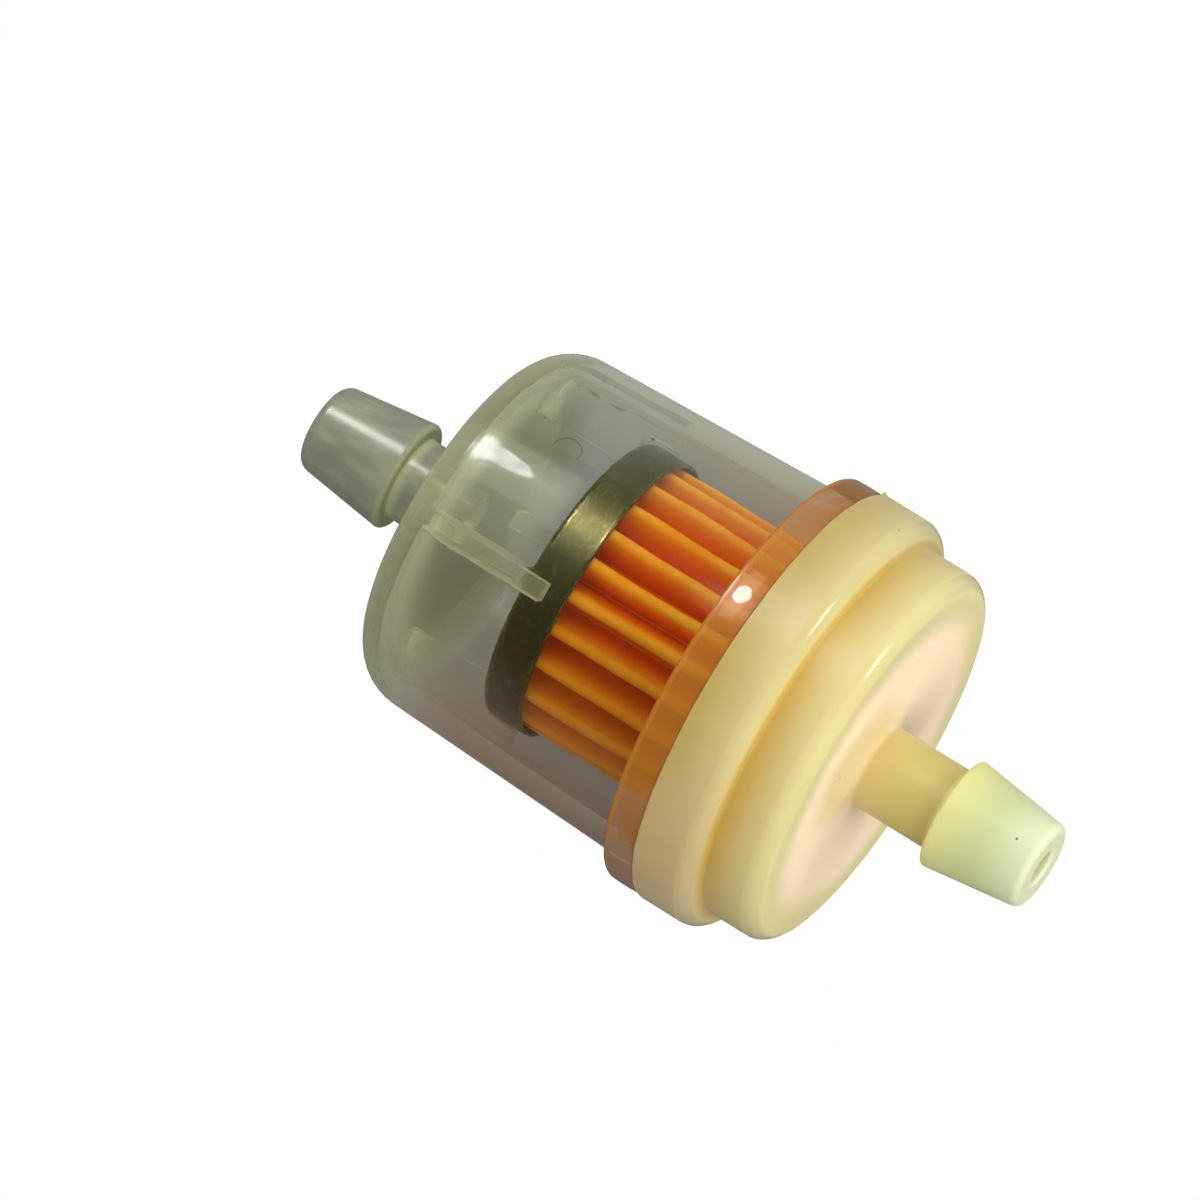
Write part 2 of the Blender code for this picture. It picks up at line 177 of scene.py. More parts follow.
class FilterColors(bpy.types.PropertyGroup):
    """Colours of the finishes."""

    clear_tint: color_property("Clear plastic", "What a wall of clear plastic lets through",
                               (0.86, 0.86, 0.78))
    pane: color_property("Pane", "Tint of the clear plastic's faces", (0.97, 0.975, 0.94))
    pane_warm: color_property("Warm pane", "Tint of the faces round the paper",
                              (0.96, 0.91, 0.85))
    # Faces of the bowl's low side: painted shade
    pane_shaded: color_property("Low pane", "Tint of the faces on the bowl's darker side",
                             (0.93, 0.90, 0.865))
    milk: color_property("Milk", "Faint milkiness inside the clear plastic",
                         (0.55, 0.56, 0.42))
    # Milk of the bowl's low side: painted shade
    milk_shaded: color_property("Milk of the low side", "Milkiness of the bowl's darker side",
                             (0.38, 0.22, 0.12))
    # Paler milk of the end wall's inner face: painted light that lifts its shade
    milk_inside_lit: color_property("Milk inside", "Milkiness of the end wall's inner face",
                                (0.62, 0.64, 0.47))
    milk_nipple: color_property("Milk of the nipple", "Milkiness of the inlet nipple",
                                (0.215, 0.220, 0.168))
    # Paler milk behind the barb: painted light that lifts the shade between barb and neck
    milk_lip_lit: color_property("Milk of the lip", "Milkiness behind the inlet nipple's barb",
                             (0.47, 0.49, 0.31))
    milk_thick: color_property("Milk at the end", "Milkiness of the bowl's thick end",
                               (0.42, 0.43, 0.25))
    # Orange milk of the flange: painted glow of the paper behind it
    milk_flange_glow: color_property("Milk of the flange", "Haze of the bowl's weld flange, "
                                "lit by the paper behind it", (0.50, 0.18, 0.014))
    # Milk of the flange's darker side: painted shade
    milk_flange_shaded: color_property("Milk of the low flange", "Haze of the weld flange on "
                                    "the bowl's darker side", (0.33, 0.175, 0.085))
    dirt: color_property("Dirt", "Dust specks and smudges", (0.05, 0.045, 0.03))
    cream: color_property("Cream", "The cap's flange beside the seam", (0.46, 0.35, 0.085))
    cream_pale: color_property("Pale cream", "The cap's flange at its front edge",
                               (0.56, 0.49, 0.20))
    # Painted shade: the flange on its lower side
    cream_shaded: color_property("Low cream", "The flange on its darker side",
                              (0.54, 0.40, 0.185))
    # Painted shade and the paper's painted glow at the boss's root
    cream_boss_shade: color_property("Deep cream", "The boss's root, with the paper behind it",
                               (0.55, 0.36, 0.065))
    # Painted light on the boss's front edge
    cream_boss_lit: color_property("Bright cream", "The boss's front edge",
                                 (0.62, 0.56, 0.235))
    # Painted glow of the element behind the middle of the outlet face
    cream_face_glow: color_property("Pinkish cream", "The middle of the outlet face",
                               (0.96, 0.75, 0.51))
    cream_root: color_property("Root", "The root of the outlet nipple's neck",
                               (0.68, 0.51, 0.205))
    cream_neck: color_property("Neck", "The neck of the outlet nipple", (0.525, 0.48, 0.145))
    cream_lip: color_property("Lip", "The back edge of the outlet nipple's barb",
                              (0.63, 0.65, 0.26))
    cream_green: color_property("Pale green cream", "The outlet nipple's barb",
                                (0.52, 0.57, 0.28))
    cream_tip: color_property("Tip", "The outlet nipple's rim", (0.61, 0.67, 0.44))
    # Pale bore mouth: painted light that lifts the shade inside the bore
    cream_bore_lit: color_property("Bore", "The mouth of the outlet nipple's bore",
                               (0.70, 0.74, 0.52))
    # Painted sheen where the cream plastic turns away
    cream_rim_sheen: color_property("Edge", "The cream plastic where it turns away",
                               (0.70, 0.66, 0.42))
    cream_cloud: color_property("Cream clouds", "Darkening of the cream plastic's clouds",
                                (0.92, 0.86, 0.74))
    metal: color_property("Cup metal", "The plated sheet of the element's cup",
                          (0.082, 0.077, 0.018))
    metal_dull: color_property("Dull metal", "Duller patches of the plating",
                               (0.056, 0.058, 0.045))
    metal_worn: color_property("Worn metal", "Scuffs and bare edges of the plating",
                               (0.34, 0.29, 0.085))
    metal_grain: color_property("Metal grain", "Darkening of the plating's grain",
                                (0.62, 0.62, 0.66))
    # Paler ridges: painted light on the outer folds
    paper_ridge_lit: color_property("Paper ridge", "The paper along its outer folds",
                                (0.92, 0.46, 0.035))
    paper_flank: color_property("Paper flank", "The paper on the sides of its folds",
                                (0.94, 0.335, 0.010))
    # Redder valleys: painted shade down in the inner folds
    paper_valley_shade: color_property("Paper valley", "The paper down in its inner folds",
                                 (0.93, 0.225, 0.006))
    paper_fibre: color_property("Paper fibre", "Darkening of the paper's fibres",
                                (0.82, 0.68, 0.55))
    # Darkening of the paper's lower side: painted shade
    paper_shaded: color_property("Low paper", "Darkening of the paper on its lower side",
                              (0.78, 0.70, 0.80))
    adhesive: color_property("Adhesive", "The cured adhesive", (0.50, 0.28, 0.08))
    adhesive_deep: color_property("Deep adhesive", "Darkening of the adhesive's hollows",
                                  (0.60, 0.50, 0.40))


class StageSettings(bpy.types.PropertyGroup):
    """The camera, the floor and the surroundings."""

    azimuth: angle_property("Azimuth", "Camera's angle round Z", 34.53)
    elevation: angle_property("Elevation", "Camera's angle above the floor", 63.77)
    distance: length_property("Distance", "From the camera to the point that it looks at",
                              1.0658)
    aim: bpy.props.FloatVectorProperty(name="Aim", description="Point that it looks at",
                                       default=(-0.005272, -0.001401, 0.002775), size=3,
                                       subtype="TRANSLATION", unit="LENGTH")
    focal_length: bpy.props.FloatProperty(name="Focal length", default=498.6, min=1.0,
                                          description="Camera's focal length in millimetres")
    floor_level: length_property("Floor drop", "How far the floor lies below the axis",
                                 0.0151)
    floor_grey: bpy.props.FloatProperty(
        name="Floor grey", default=0.19, min=0.0, max=1.0,
        description="Floor's reflectance for all but the camera")
    floor_glow: bpy.props.FloatProperty(
        name="Floor glow", default=0.132, min=0.0,
        description="Even light of the floor as it is seen through clear plastic")
    sky: bpy.props.FloatProperty(name="Sky", default=0.88, min=0.0,
                                 description="Radiance of the soft surroundings")
    sky_mirrored: bpy.props.FloatProperty(
        name="Mirrored sky", default=0.035, min=0.0,
        description="Radiance of the surroundings in glossy and clear faces")


# Shapes


def rounded_path(corners, closed=False, steps=ROUND_STEPS):
    """A path of (x, radius) points with rounded corners, from rows of (x, radius, rounding).

    With rounding R, each corner is cut back by R / tan(half its angle) on both sides, and
    the arc between those two points turns evenly about the centre that lies
    R / sin(half angle) along the corner's bisector. An open path keeps its two ends.
    """
    rows = np.asarray(corners, float)
    corners, radii = rows[:, :2], rows[:, 2].copy()
    back = np.roll(corners, 1, 0) - corners
    ahead = np.roll(corners, -1, 0) - corners
    back /= np.linalg.norm(back, axis=1)[:, None]
    ahead /= np.linalg.norm(ahead, axis=1)[:, None]
    if not closed:
        radii[[0, -1]] = 0.0
        back[0], ahead[-1] = -ahead[0], -back[-1]
    cosine = np.clip((back * ahead).sum(1), -0.9999999, 0.9999999)
    half = np.arccos(cosine) / 2
    cut = radii / np.tan(half)
    bisector = back + ahead
    size = np.linalg.norm(bisector, axis=1)
    bisector /= np.where(size < 1e-9, 1.0, size)[:, None]
    centers = corners + bisector * (radii / np.sin(half))[:, None]
    first = corners + back * cut[:, None] - centers
    last = corners + ahead * cut[:, None] - centers
    turn = np.pi - 2 * half
    share = np.linspace(0, 1, steps + 1)[None, :, None]
    whole = np.where(turn < 1e-6, 1.0, np.sin(turn))[:, None, None]
    angle = turn[:, None, None]
    arcs = (np.sin((1 - share) * angle) * first[:, None]
            + np.sin(share * angle) * last[:, None]) / whole
    arcs = np.where(np.abs(whole) < 1e-6, first[:, None], arcs)
    path = (centers[:, None] + arcs).reshape(-1, 2)
    step = np.linalg.norm(np.diff(path, axis=0), axis=1)
    return path[np.r_[True, step > 1e-6]]


def supported(path, closed=False, margin=SUPPORT):
    """The path with two more points on each long straight run, a margin in from its ends,
    so that smooth shading stays flat between them."""
    ends = np.roll(path, -1, 0) if closed else np.vstack([path[1:], path[-1:]])
    run = ends - path
    size = np.linalg.norm(run, axis=1)
    long = size > 3 * margin
    unit = run / np.where(size < 1e-9, 1.0, size)[:, None]
    rows = np.stack([path, path + unit * margin, ends - unit * margin], 1)
    keep = np.stack([np.ones(len(path), bool), long, long], 1)
    return rows[keep]


def turned_points(path, angles):
    """A surface of revolution: the point of row i and column j is (x_i, r_i cos a_j,
    r_i sin a_j)."""
    x, radius = path[:, 0][:, None], path[:, 1][:, None]
    return np.stack([x + 0 * angles, radius * np.cos(angles), radius * np.sin(angles)], -1)


def grid_faces(rows, columns, rows_closed, columns_closed, flip):
    """The four corners of each cell of a grid of points, as indices."""
    i = np.arange(rows if rows_closed else rows - 1)[:, None]
    j = np.arange(columns if columns_closed else columns - 1)[None, :]
    k, m = (i + 1) % rows, (j + 1) % columns
    quads = np.stack([i * columns + j, k * columns + j, k * columns + m,
                      i * columns + m], -1).reshape(-1, 4)
    return quads[:, ::-1] if flip else quads


def surface(name, points, rows_closed=False, columns_closed=True, flip=False, poles=()):
    """A mesh object from a grid of points in millimetres. Each pole is (row, x), where the
    row is closed by triangles that meet at the axis."""
    rows, columns = points.shape[:2]
    corners = points.reshape(-1, 3)
    quads = grid_faces(rows, columns, rows_closed, columns_closed, flip)
    loops, totals = [quads.ravel()], [np.full(len(quads), 4)]
    j = np.arange(columns)
    for row, x in poles:
        start = (row % rows) * columns
        tip = np.full(columns, len(corners))
        fan = np.stack([start + j, start + (j + 1) % columns, tip], 1)
        if (row == 0) == flip:
            fan = fan[:, ::-1]
        corners = np.vstack([corners, [x, 0.0, 0.0]])
        loops.append(fan.ravel())
        totals.append(np.full(columns, 3))
    loops, totals = np.concatenate(loops), np.concatenate(totals)
    mesh = bpy.data.meshes.new(name)
    mesh.vertices.add(len(corners))
    mesh.vertices.foreach_set("co", (corners * MM).astype(np.float32).ravel())
    mesh.loops.add(len(loops))
    mesh.loops.foreach_set("vertex_index", loops.astype(np.int32))
    mesh.polygons.add(len(totals))
    starts = np.r_[0, np.cumsum(totals)[:-1]]
    mesh.polygons.foreach_set("loop_start", starts.astype(np.int32))
    mesh.update(calc_edges=True)
    mesh.validate()
    mesh.shade_smooth()
    mesh.set_sharp_from_angle(angle=SHARP_ANGLE)
    obj = bpy.data.objects.new(name, mesh)
    bpy.context.scene.collection.objects.link(obj)
    return obj


def seat(obj, material, node):
    """Give a piece its finish, its body and the node that it stands for."""
    obj.data.materials.append(material)
    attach(obj, "root")
    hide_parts(node)


def even_angles(count):
    """Angles of evenly spaced columns."""
    return np.linspace(0, 2 * np.pi, count, endpoint=False)


# Node helpers


def new_finish(name):
    """An empty material and its node tree."""
    material = bpy.data.materials.new(name)
    material.use_nodes = True
    material.node_tree.nodes.clear()
    return material, material.node_tree


def add(tree, kind, inputs=None, **settings):
    """Add a node, set its options and its inputs. An input's value that is a socket is
    linked, and any other value is set."""
    node = tree.nodes.new("ShaderNode" + kind)
    for key, value in settings.items():
        setattr(node, key, value)
    for key, value in (inputs or {}).items():
        if isinstance(value, bpy.types.NodeSocket):
            tree.links.new(value, node.inputs[key])
        else:
            node.inputs[key].default_value = value
    return node


def math_node(tree, operation, *values):
    """A Math node's output."""
    return add(tree, "Math", dict(enumerate(values)), operation=operation).outputs[0]


def joined(tree, operation, first, *others):
    """Several values taken together, such as their product or the largest of them."""
    for value in others:
        first = math_node(tree, operation, first, value)
    return first


def product(tree, *values):
    """The product of several values."""
    return joined(tree, "MULTIPLY", *values)


def largest(tree, *values):
    """The largest of several values."""
    return joined(tree, "MAXIMUM", *values)


def off(tree, value, middle):
    """How far a value is from a middle, to either side."""
    return math_node(tree, "ABSOLUTE", math_node(tree, "SUBTRACT", value, middle))


def between(tree, value, start, end, low=0.0, high=1.0):
    """low where value is at start, high where it is at end, eased in and out between them and
    clamped outside."""
    return add(tree, "MapRange", {"Value": value, "From Min": start, "From Max": end,
                                  "To Min": low, "To Max": high},
               interpolation_type="SMOOTHSTEP").outputs["Result"]


def place_on_axis(tree):
    """Sockets of a point, of its x and y and its radius in millimetres, and of its angle
    round the axis in degrees."""
    point = add(tree, "TexCoord").outputs["Object"]
    x, y, z = (product(tree, part, 1 / MM)
               for part in add(tree, "SeparateXYZ", {0: point}).outputs)
    radius = math_node(tree, "SQRT", math_node(tree, "ADD", product(tree, y, y),
                                               product(tree, z, z)))
    angle = math_node(tree, "DEGREES", math_node(tree, "ARCTAN2", z, y))
    return SimpleNamespace(point=point, x=x, y=y, radius=radius, angle=angle)


def distance_to(tree, at, x, radius, degrees):
    """A point's distance in millimetres from a place on a surface: (x, r cos a, r sin a)."""
    turn = math.radians(degrees)
    middle = Vector((x, radius * math.cos(turn), radius * math.sin(turn))) * MM
    gap = add(tree, "VectorMath", {0: at.point, 1: middle}, operation="DISTANCE")
    return product(tree, gap.outputs["Value"], 1 / MM)


def noise(tree, at, scale, detail=2.0, roughness=0.5, stretch=(1.0, 1.0, 1.0)):
    """A noise value at a point, its scale given for each metre."""
    scaled = add(tree, "Mapping", {"Vector": at.point, "Scale": stretch}).outputs[0]
    return add(tree, "TexNoise", {"Vector": scaled, "Scale": scale, "Detail": detail,
                                  "Roughness": roughness}).outputs["Fac"]


def mix_colors(tree, factor, first, second, blend="MIX"):
    """Mix two colours, each a socket or a tuple."""
    node = tree.nodes.new("ShaderNodeMix")
    node.data_type = "RGBA"
    node.blend_type = blend
    for index, value in ((0, factor), (6, first), (7, second)):
        if isinstance(value, bpy.types.NodeSocket):
            tree.links.new(value, node.inputs[index])
        elif index == 0:
            node.inputs[index].default_value = value
        else:
            node.inputs[index].default_value = (*value[:3], 1.0)
    return node.outputs[2]


def darkened(tree, factor, color, shade):
    """A colour multiplied by a shade where the factor is 1."""
    return mix_colors(tree, factor, color, mix_colors(tree, 1.0, color, shade, "MULTIPLY"))


def bump(tree, height, distance, normal=None, strength=1.0):
    """A Bump node's normal, its distance in metres."""
    inputs = {"Height": height, "Distance": distance, "Strength": strength}
    if normal is not None:
        inputs["Normal"] = normal
    return add(tree, "Bump", inputs).outputs[0]


def turned_away(tree, power):
    """Close to 0 on faces that look at the viewer, and 1 at the outline."""
    facing = add(tree, "LayerWeight", {"Blend": 0.5}).outputs["Facing"]
    return math_node(tree, "POWER", facing, power)


def specks(tree, at, places):
    """1 at small round specks on a surface and 0 elsewhere. Each place is (x, radius, angle,
    size), and its speck fades out over the outer half of its size."""
    return largest(tree, *(between(tree, distance_to(tree, at, *place), size, size / 2)
                           for *place, size in places))


# Finishes


def wall_depth(tree, at):
    """How far out a point lies in the bowl's wall, measured from the middle of the shoulder's
    rounding: about 2 on all inner faces and 3.5 or more on all outer ones.

    It is hypot(min(x - c, 0), max(r - s, 0)) - draft * max(x - c, 0), where (c, s) is that
    middle.
    """
    along = math_node(tree, "SUBTRACT", at.x, SHOULDER_X)
    back = math_node(tree, "MINIMUM", along, 0.0)
    out = math_node(tree, "MAXIMUM", math_node(tree, "SUBTRACT", at.radius, SHOULDER_RADIUS),
                    0.0)
    reach = math_node(tree, "SQRT", math_node(tree, "ADD", product(tree, back, back),
                                              product(tree, out, out)))
    drop = product(tree, math_node(tree, "MAXIMUM", along, 0.0), WALL_DRAFT)
    return math_node(tree, "SUBTRACT", reach, drop)


def bowl_masks(tree, at):
    """Sockets that are 1 on one part of the bowl and 0 on the rest of it."""
    x, angle = at.x, at.angle
    depth = wall_depth(tree, at)
    outside = between(tree, depth, 2.4, 3.1)
    flange = between(tree, x, FLANGE_BACK - 0.3, FLANGE_BACK - 0.05)
    body = between(tree, x, FLANGE_BACK - 0.05, FLANGE_BACK - 0.3)
    # Painted shade: the flange's darker side, round this angle
    shade_side = between(tree, off(tree, math_node(tree, "FLOORED_MODULO", angle, 360.0),
                                  SHADE_SIDE), 26.0, 12.0)
    back_edge = product(tree, between(tree, x, FLANGE_BACK + 0.55, FLANGE_BACK + 0.25),
                        between(tree, at.radius, 13.9, 14.3))
    front_edge = product(tree, between(tree, x, SEAM - 0.3, SEAM - 0.1),
                         between(tree, at.radius, 14.6, 14.8))
    return SimpleNamespace(
        outside=outside,
        body=body,
        flange=flange,
        flange_edges=product(tree, flange, largest(tree, back_edge, front_edge)),
        # Painted shade on the flange's darker side
        flange_shaded=product(tree, flange, shade_side),
        # Painted shade: the bowl's lower side, where its tint and milk turn darker
        shaded_low_side=product(tree, between(tree, at.y, -4.0, -10.5),
                         between(tree, x, END_FACE + 2.1, END_FACE + 9.6)),
        paper_wall=product(tree, between(tree, x, CUP_FACE + 0.4, CUP_FACE + 4.4), body),
        thick_end=between(tree, x, END_FACE + 4.0, END_FACE + 1.2),
        # The end wall's inner face, made paler as painted light
        floor=product(tree, between(tree, at.radius, 10.6, 9.6),
                      between(tree, x, END_FACE + 0.6, END_FACE + 1.1)),
        nipple=between(tree, x, END_FACE - 0.05, END_FACE - 0.5),
        lip=between(tree, off(tree, x, INLET_BARB + 0.15), 0.8, 0.1),
        # Painted light: more milk on this one fin, making it paler
        lit_fin=product(tree, between(tree, depth, 1.95, 1.7),
                        between(tree, off(tree, angle, LIT_FIN), 40.0, 30.0)),
        shoulder=product(tree, between(tree, x, CUP_FACE + 0.4, CUP_FACE - 3.6),
                         between(tree, off(tree, angle, LIGHT_BAND), 22.0, 12.0)),
        # Painted reflections: a narrow light band and a wider veil on the wall's outer face
        light_band=product(tree, outside, between(tree, x, CUP_FACE + 1.2, CUP_FACE),
                           between(tree, off(tree, angle, LIGHT_BAND), 8.8, 7.0)),
        painted_veil=product(tree, outside, between(tree, x, CUP_FACE + 0.9, CUP_FACE - 1.1),
                     between(tree, off(tree, angle, PAINTED_VEIL_MIDDLE), 23.0, 6.0)))


def bowl_pane(tree, colors, at, on):
    """The tint of the bowl's faces: warmer round the paper, and darker on the low side as
    painted shade.
    """
    pane = mix_colors(tree, between(tree, at.x, -7.0, 0.0), colors.pane, colors.pane_warm)
    return mix_colors(tree, on.shaded_low_side, pane, colors.pane_shaded)


def bowl_milk(tree, colors, at, on):
    """The colour of the milkiness in each part of the bowl."""
    # Painted light on the end wall's inner face
    end = mix_colors(tree, on.floor, colors.milk_thick, colors.milk_inside_lit)
    # Painted shade on the bowl's lower side
    milk = mix_colors(tree, on.shaded_low_side, colors.milk, colors.milk_shaded)
    milk = mix_colors(tree, on.thick_end, milk, end)
    streaks = noise(tree, at, 700.0, 3.0, 0.6, (0.3, 1.0, 1.0))
    # Painted light behind the barb, with random paler streaks
    pale = largest(tree, product(tree, on.lip, 0.65),
                   between(tree, streaks, 0.35, 0.75, 0.0, 0.4))
    nipple = mix_colors(tree, pale, colors.milk_nipple, colors.milk_lip_lit)
    milk = mix_colors(tree, on.nipple, milk, nipple)
    # The flange's milk: the paper's painted glow, and painted shade on its darker side
    ring = mix_colors(tree, on.flange_shaded, colors.milk_flange_glow, colors.milk_flange_shaded)
    return mix_colors(tree, on.flange, milk, ring)


def milk_share(tree, at, on):
    """How much of the milkiness each part of the bowl shows: a cloudy haze on the wall, and more
    in the thick parts, in the flange, on one fin as painted light, in a light band and a wider
    veil as painted reflections, and towards the outline as a painted sheen."""
    clouds = between(tree, noise(tree, at, 160.0, 3.0), 0.3, 0.7, 0.7, 1.3)
    share = product(tree, on.outside, between(tree, at.x, -3.5, -7.5, 0.006, 0.030),
                    between(tree, at.y, 5.0, -1.0, 0.3, 1.0), clouds)
    # Painted sheen: more milk where the bowl turns away
    sheen_rim = product(tree, turned_away(tree, 2.7), on.body)
    for part, weight in ((on.flange, 0.42), (on.flange_shaded, 0.38), (on.flange_edges, 0.40),
                         (on.thick_end, 0.36), (on.nipple, 0.50), (on.lit_fin, 0.32),
                         (on.light_band, 0.10), (on.painted_veil, 0.13), (sheen_rim, 0.9)):
        share = math_node(tree, "ADD", share, product(tree, part, weight))
    return share


def bowl_gloss(tree, at, on):
    """How glossy the bowl's outer face is: full on the flange and the chamber, scratched on
    the shoulder, broken up on the nipple and weaker over the paper."""
    scratches = between(tree, noise(tree, at, 2600.0, 3.0, 0.7, (0.5, 1.0, 1.0)),
                        0.62, 0.40, 0.0, 0.45)
    patches = between(tree, noise(tree, at, 520.0), 0.58, 0.42, 0.0, 0.75)
    lost = largest(tree, product(tree, on.shoulder, scratches),
                   product(tree, on.nipple, patches), product(tree, on.paper_wall, 0.7))
    return product(tree, on.outside, math_node(tree, "SUBTRACT", 1.0, lost))


def bowl_dirt(tree, at, on):
    """A smudge along the wall, a few specks and one hair-thin loop, on the outer face."""
    smudge = product(
        tree, between(tree, off(tree, at.angle, SMUDGE), 2.4, 0.4),
        between(tree, at.x, -12.6, -11.4), between(tree, at.x, -6.8, -8.4),
        between(tree, noise(tree, at, 1500.0, 3.0, 0.6, (0.4, 1.0, 1.0)), 0.45, 0.7, 0.0, 0.5))
    *middle, size = HAIR
    middle_y = middle[1] * math.cos(math.radians(middle[2]))
    loop = product(tree, between(tree, off(tree, distance_to(tree, at, *middle), size),
                                 0.06, 0.02),
                   between(tree, at.y, middle_y - 0.3, middle_y), 0.45)
    dust = product(tree, specks(tree, at, BOWL_SPECKS), 0.75)
    return product(tree, on.outside, largest(tree, smudge, dust, loop))


def clear_plastic_finish(colors):
    """Clear moulded plastic: glossy and slightly wavy outside, faintly milky in its thick parts
    and in the flange, and yellow-green through its depth. Lamps shine through it. Its milk also
    carries painted shade, painted light, painted reflections and the paper's painted glow."""
    material, tree = new_finish("clear_smoky_plastic")
    at = place_on_axis(tree)
    on = bowl_masks(tree, at)
    wavy = bump(tree, noise(tree, at, 220.0, 0.0), 0.000012)
    satin = bump(tree, noise(tree, at, 5000.0, 1.0), 0.00002, wavy,
                 between(tree, at.x, END_FACE - 0.1, END_FACE - 0.7))
    rounded = bump(tree, between(tree, at.x, SHOULDER_X - 2.35, SHOULDER_X + 3.05), 0.00017,
                   satin)
    fine_marks = noise(tree, at, 900.0, 2.0, 0.5, (0.2, 1.0, 1.0))
    coat_roughness = math_node(tree, "ADD", between(tree, at.x, -9.0, -12.5, 0.035, 0.10),
                               between(tree, at.x, END_FACE, END_FACE - 0.6, 0.0, 0.14))
    glass = add(tree, "BsdfPrincipled", {
        "Base Color": bowl_pane(tree, colors, at, on),
        "Roughness": between(tree, at.x, END_FACE, END_FACE - 0.6, 0.03, 0.35),
        "IOR": 1.11, "Transmission Weight": 1.0, "Normal": wavy,
        "Coat Weight": bowl_gloss(tree, at, on), "Coat IOR": 1.5,
        "Coat Roughness": coat_roughness,
        "Coat Normal": bump(tree, fine_marks, 0.000002, rounded)}).outputs[0]
    milk = add(tree, "BsdfPrincipled", {
        "Base Color": bowl_milk(tree, colors, at, on), "Roughness": 0.25, "IOR": 1.45,
        "Normal": wavy}).outputs[0]
    body = add(tree, "MixShader", {0: milk_share(tree, at, on), 1: glass, 2: milk}).outputs[0]
    dark = add(tree, "BsdfDiffuse", {"Color": (*colors.dirt, 1.0)}).outputs[0]
    body = add(tree, "MixShader", {0: bowl_dirt(tree, at, on), 1: body, 2: dark}).outputs[0]

    passing = add(tree, "BsdfTransparent", {"Color": (*colors.clear_tint, 1.0)}).outputs[0]
    path = add(tree, "LightPath").outputs
    soft = largest(tree, path["Is Shadow Ray"], path["Is Diffuse Ray"])
    shader = add(tree, "MixShader", {0: soft, 1: body, 2: passing}).outputs[0]
    volume = add(tree, "VolumeAbsorption", {"Color": (0.80, 0.82, 0.60, 1.0),
                                            "Density": 50.0}).outputs[0]
    add(tree, "OutputMaterial", {"Surface": shader, "Volume": volume})
    return material


def cream_colors(tree, colors, at):
    """The cream plastic's colour: browner on the flange's lower side as painted shade, yellower
    at the boss's root with painted shade and the paper's painted glow, paler at the boss's front
    edge as painted light, pinkish with the element's painted glow where it shows through the end
    face, orange at the neck's root with a painted glow on the face beside it, pale green at the
    tip, pale in the bore's mouth as painted light, and paler where it turns away as a painted
    sheen."""
    x, radius = at.x, at.radius
    flange = mix_colors(tree, between(tree, x, SEAM, FLANGE_FRONT - 0.4), colors.cream,
                        colors.cream_pale)
    # Painted shade on the flange's lower side
    flange = mix_colors(tree, between(tree, at.y, -8.0, -14.5, 0.0, 0.7), flange,
                        colors.cream_shaded)
    # Painted shade at the boss's root, turning to painted light at its front edge
    boss = mix_colors(tree, between(tree, x, FLANGE_FRONT, OUTLET_FACE - 0.7),
                      colors.cream_boss_shade, colors.cream_boss_lit)
    color = mix_colors(tree, between(tree, radius, 14.4, 13.8), flange, boss)
    on_face = between(tree, x, OUTLET_FACE - 0.5, OUTLET_FACE - 0.1)
    # Painted glow: the element seen through the middle of the outlet face
    glow_face = product(tree, on_face, between(tree, radius, 11.9, 9.2))
    color = mix_colors(tree, glow_face, color, colors.cream_face_glow)
    # Painted glow: the tube inside the boss, orange on the face beside the neck's root
    glow = between(tree, distance_to(tree, at, OUTLET_FACE, GLOW_RADIUS, GLOW_ANGLE),
                   5.8, 2.8, 0.0, 0.85)
    color = mix_colors(tree, product(tree, on_face, glow), color, colors.cream_root)
    for start, end, tone in ((OUTLET_FACE + 0.05, OUTLET_FACE + 0.4, colors.cream_root),
                             (OUTLET_FACE + 0.1, OUTLET_FACE + 3.7, colors.cream_neck),
                             (OUTLET_BARB - 0.5, OUTLET_BARB - 0.2, colors.cream_lip),
                             (OUTLET_BARB + 0.1, OUTLET_BARB + 3.4, colors.cream_green),
                             (OUTLET_BARB + 3.4, CAP_HIGH[0] - 0.4, colors.cream_tip)):
        color = mix_colors(tree, between(tree, x, start, end), color, tone)
    # Painted light: the bore's mouth and inside made pale, lifting their shade
    mouth = product(tree, between(tree, x, CAP_HIGH[0] - 3.0, CAP_HIGH[0] - 2.0),
                    between(tree, radius, 1.7, 1.3))
    color = mix_colors(tree, mouth, color, colors.cream_bore_lit)
    # Painted sheen: paler where the cap turns away
    sheen_rim = product(tree, turned_away(tree, 3.0), 0.6)
    color = mix_colors(tree, sheen_rim, color, colors.cream_rim_sheen)
    return mix_colors(tree, product(tree, specks(tree, at, CAP_SPECKS), 0.8), color,
                      colors.dirt)


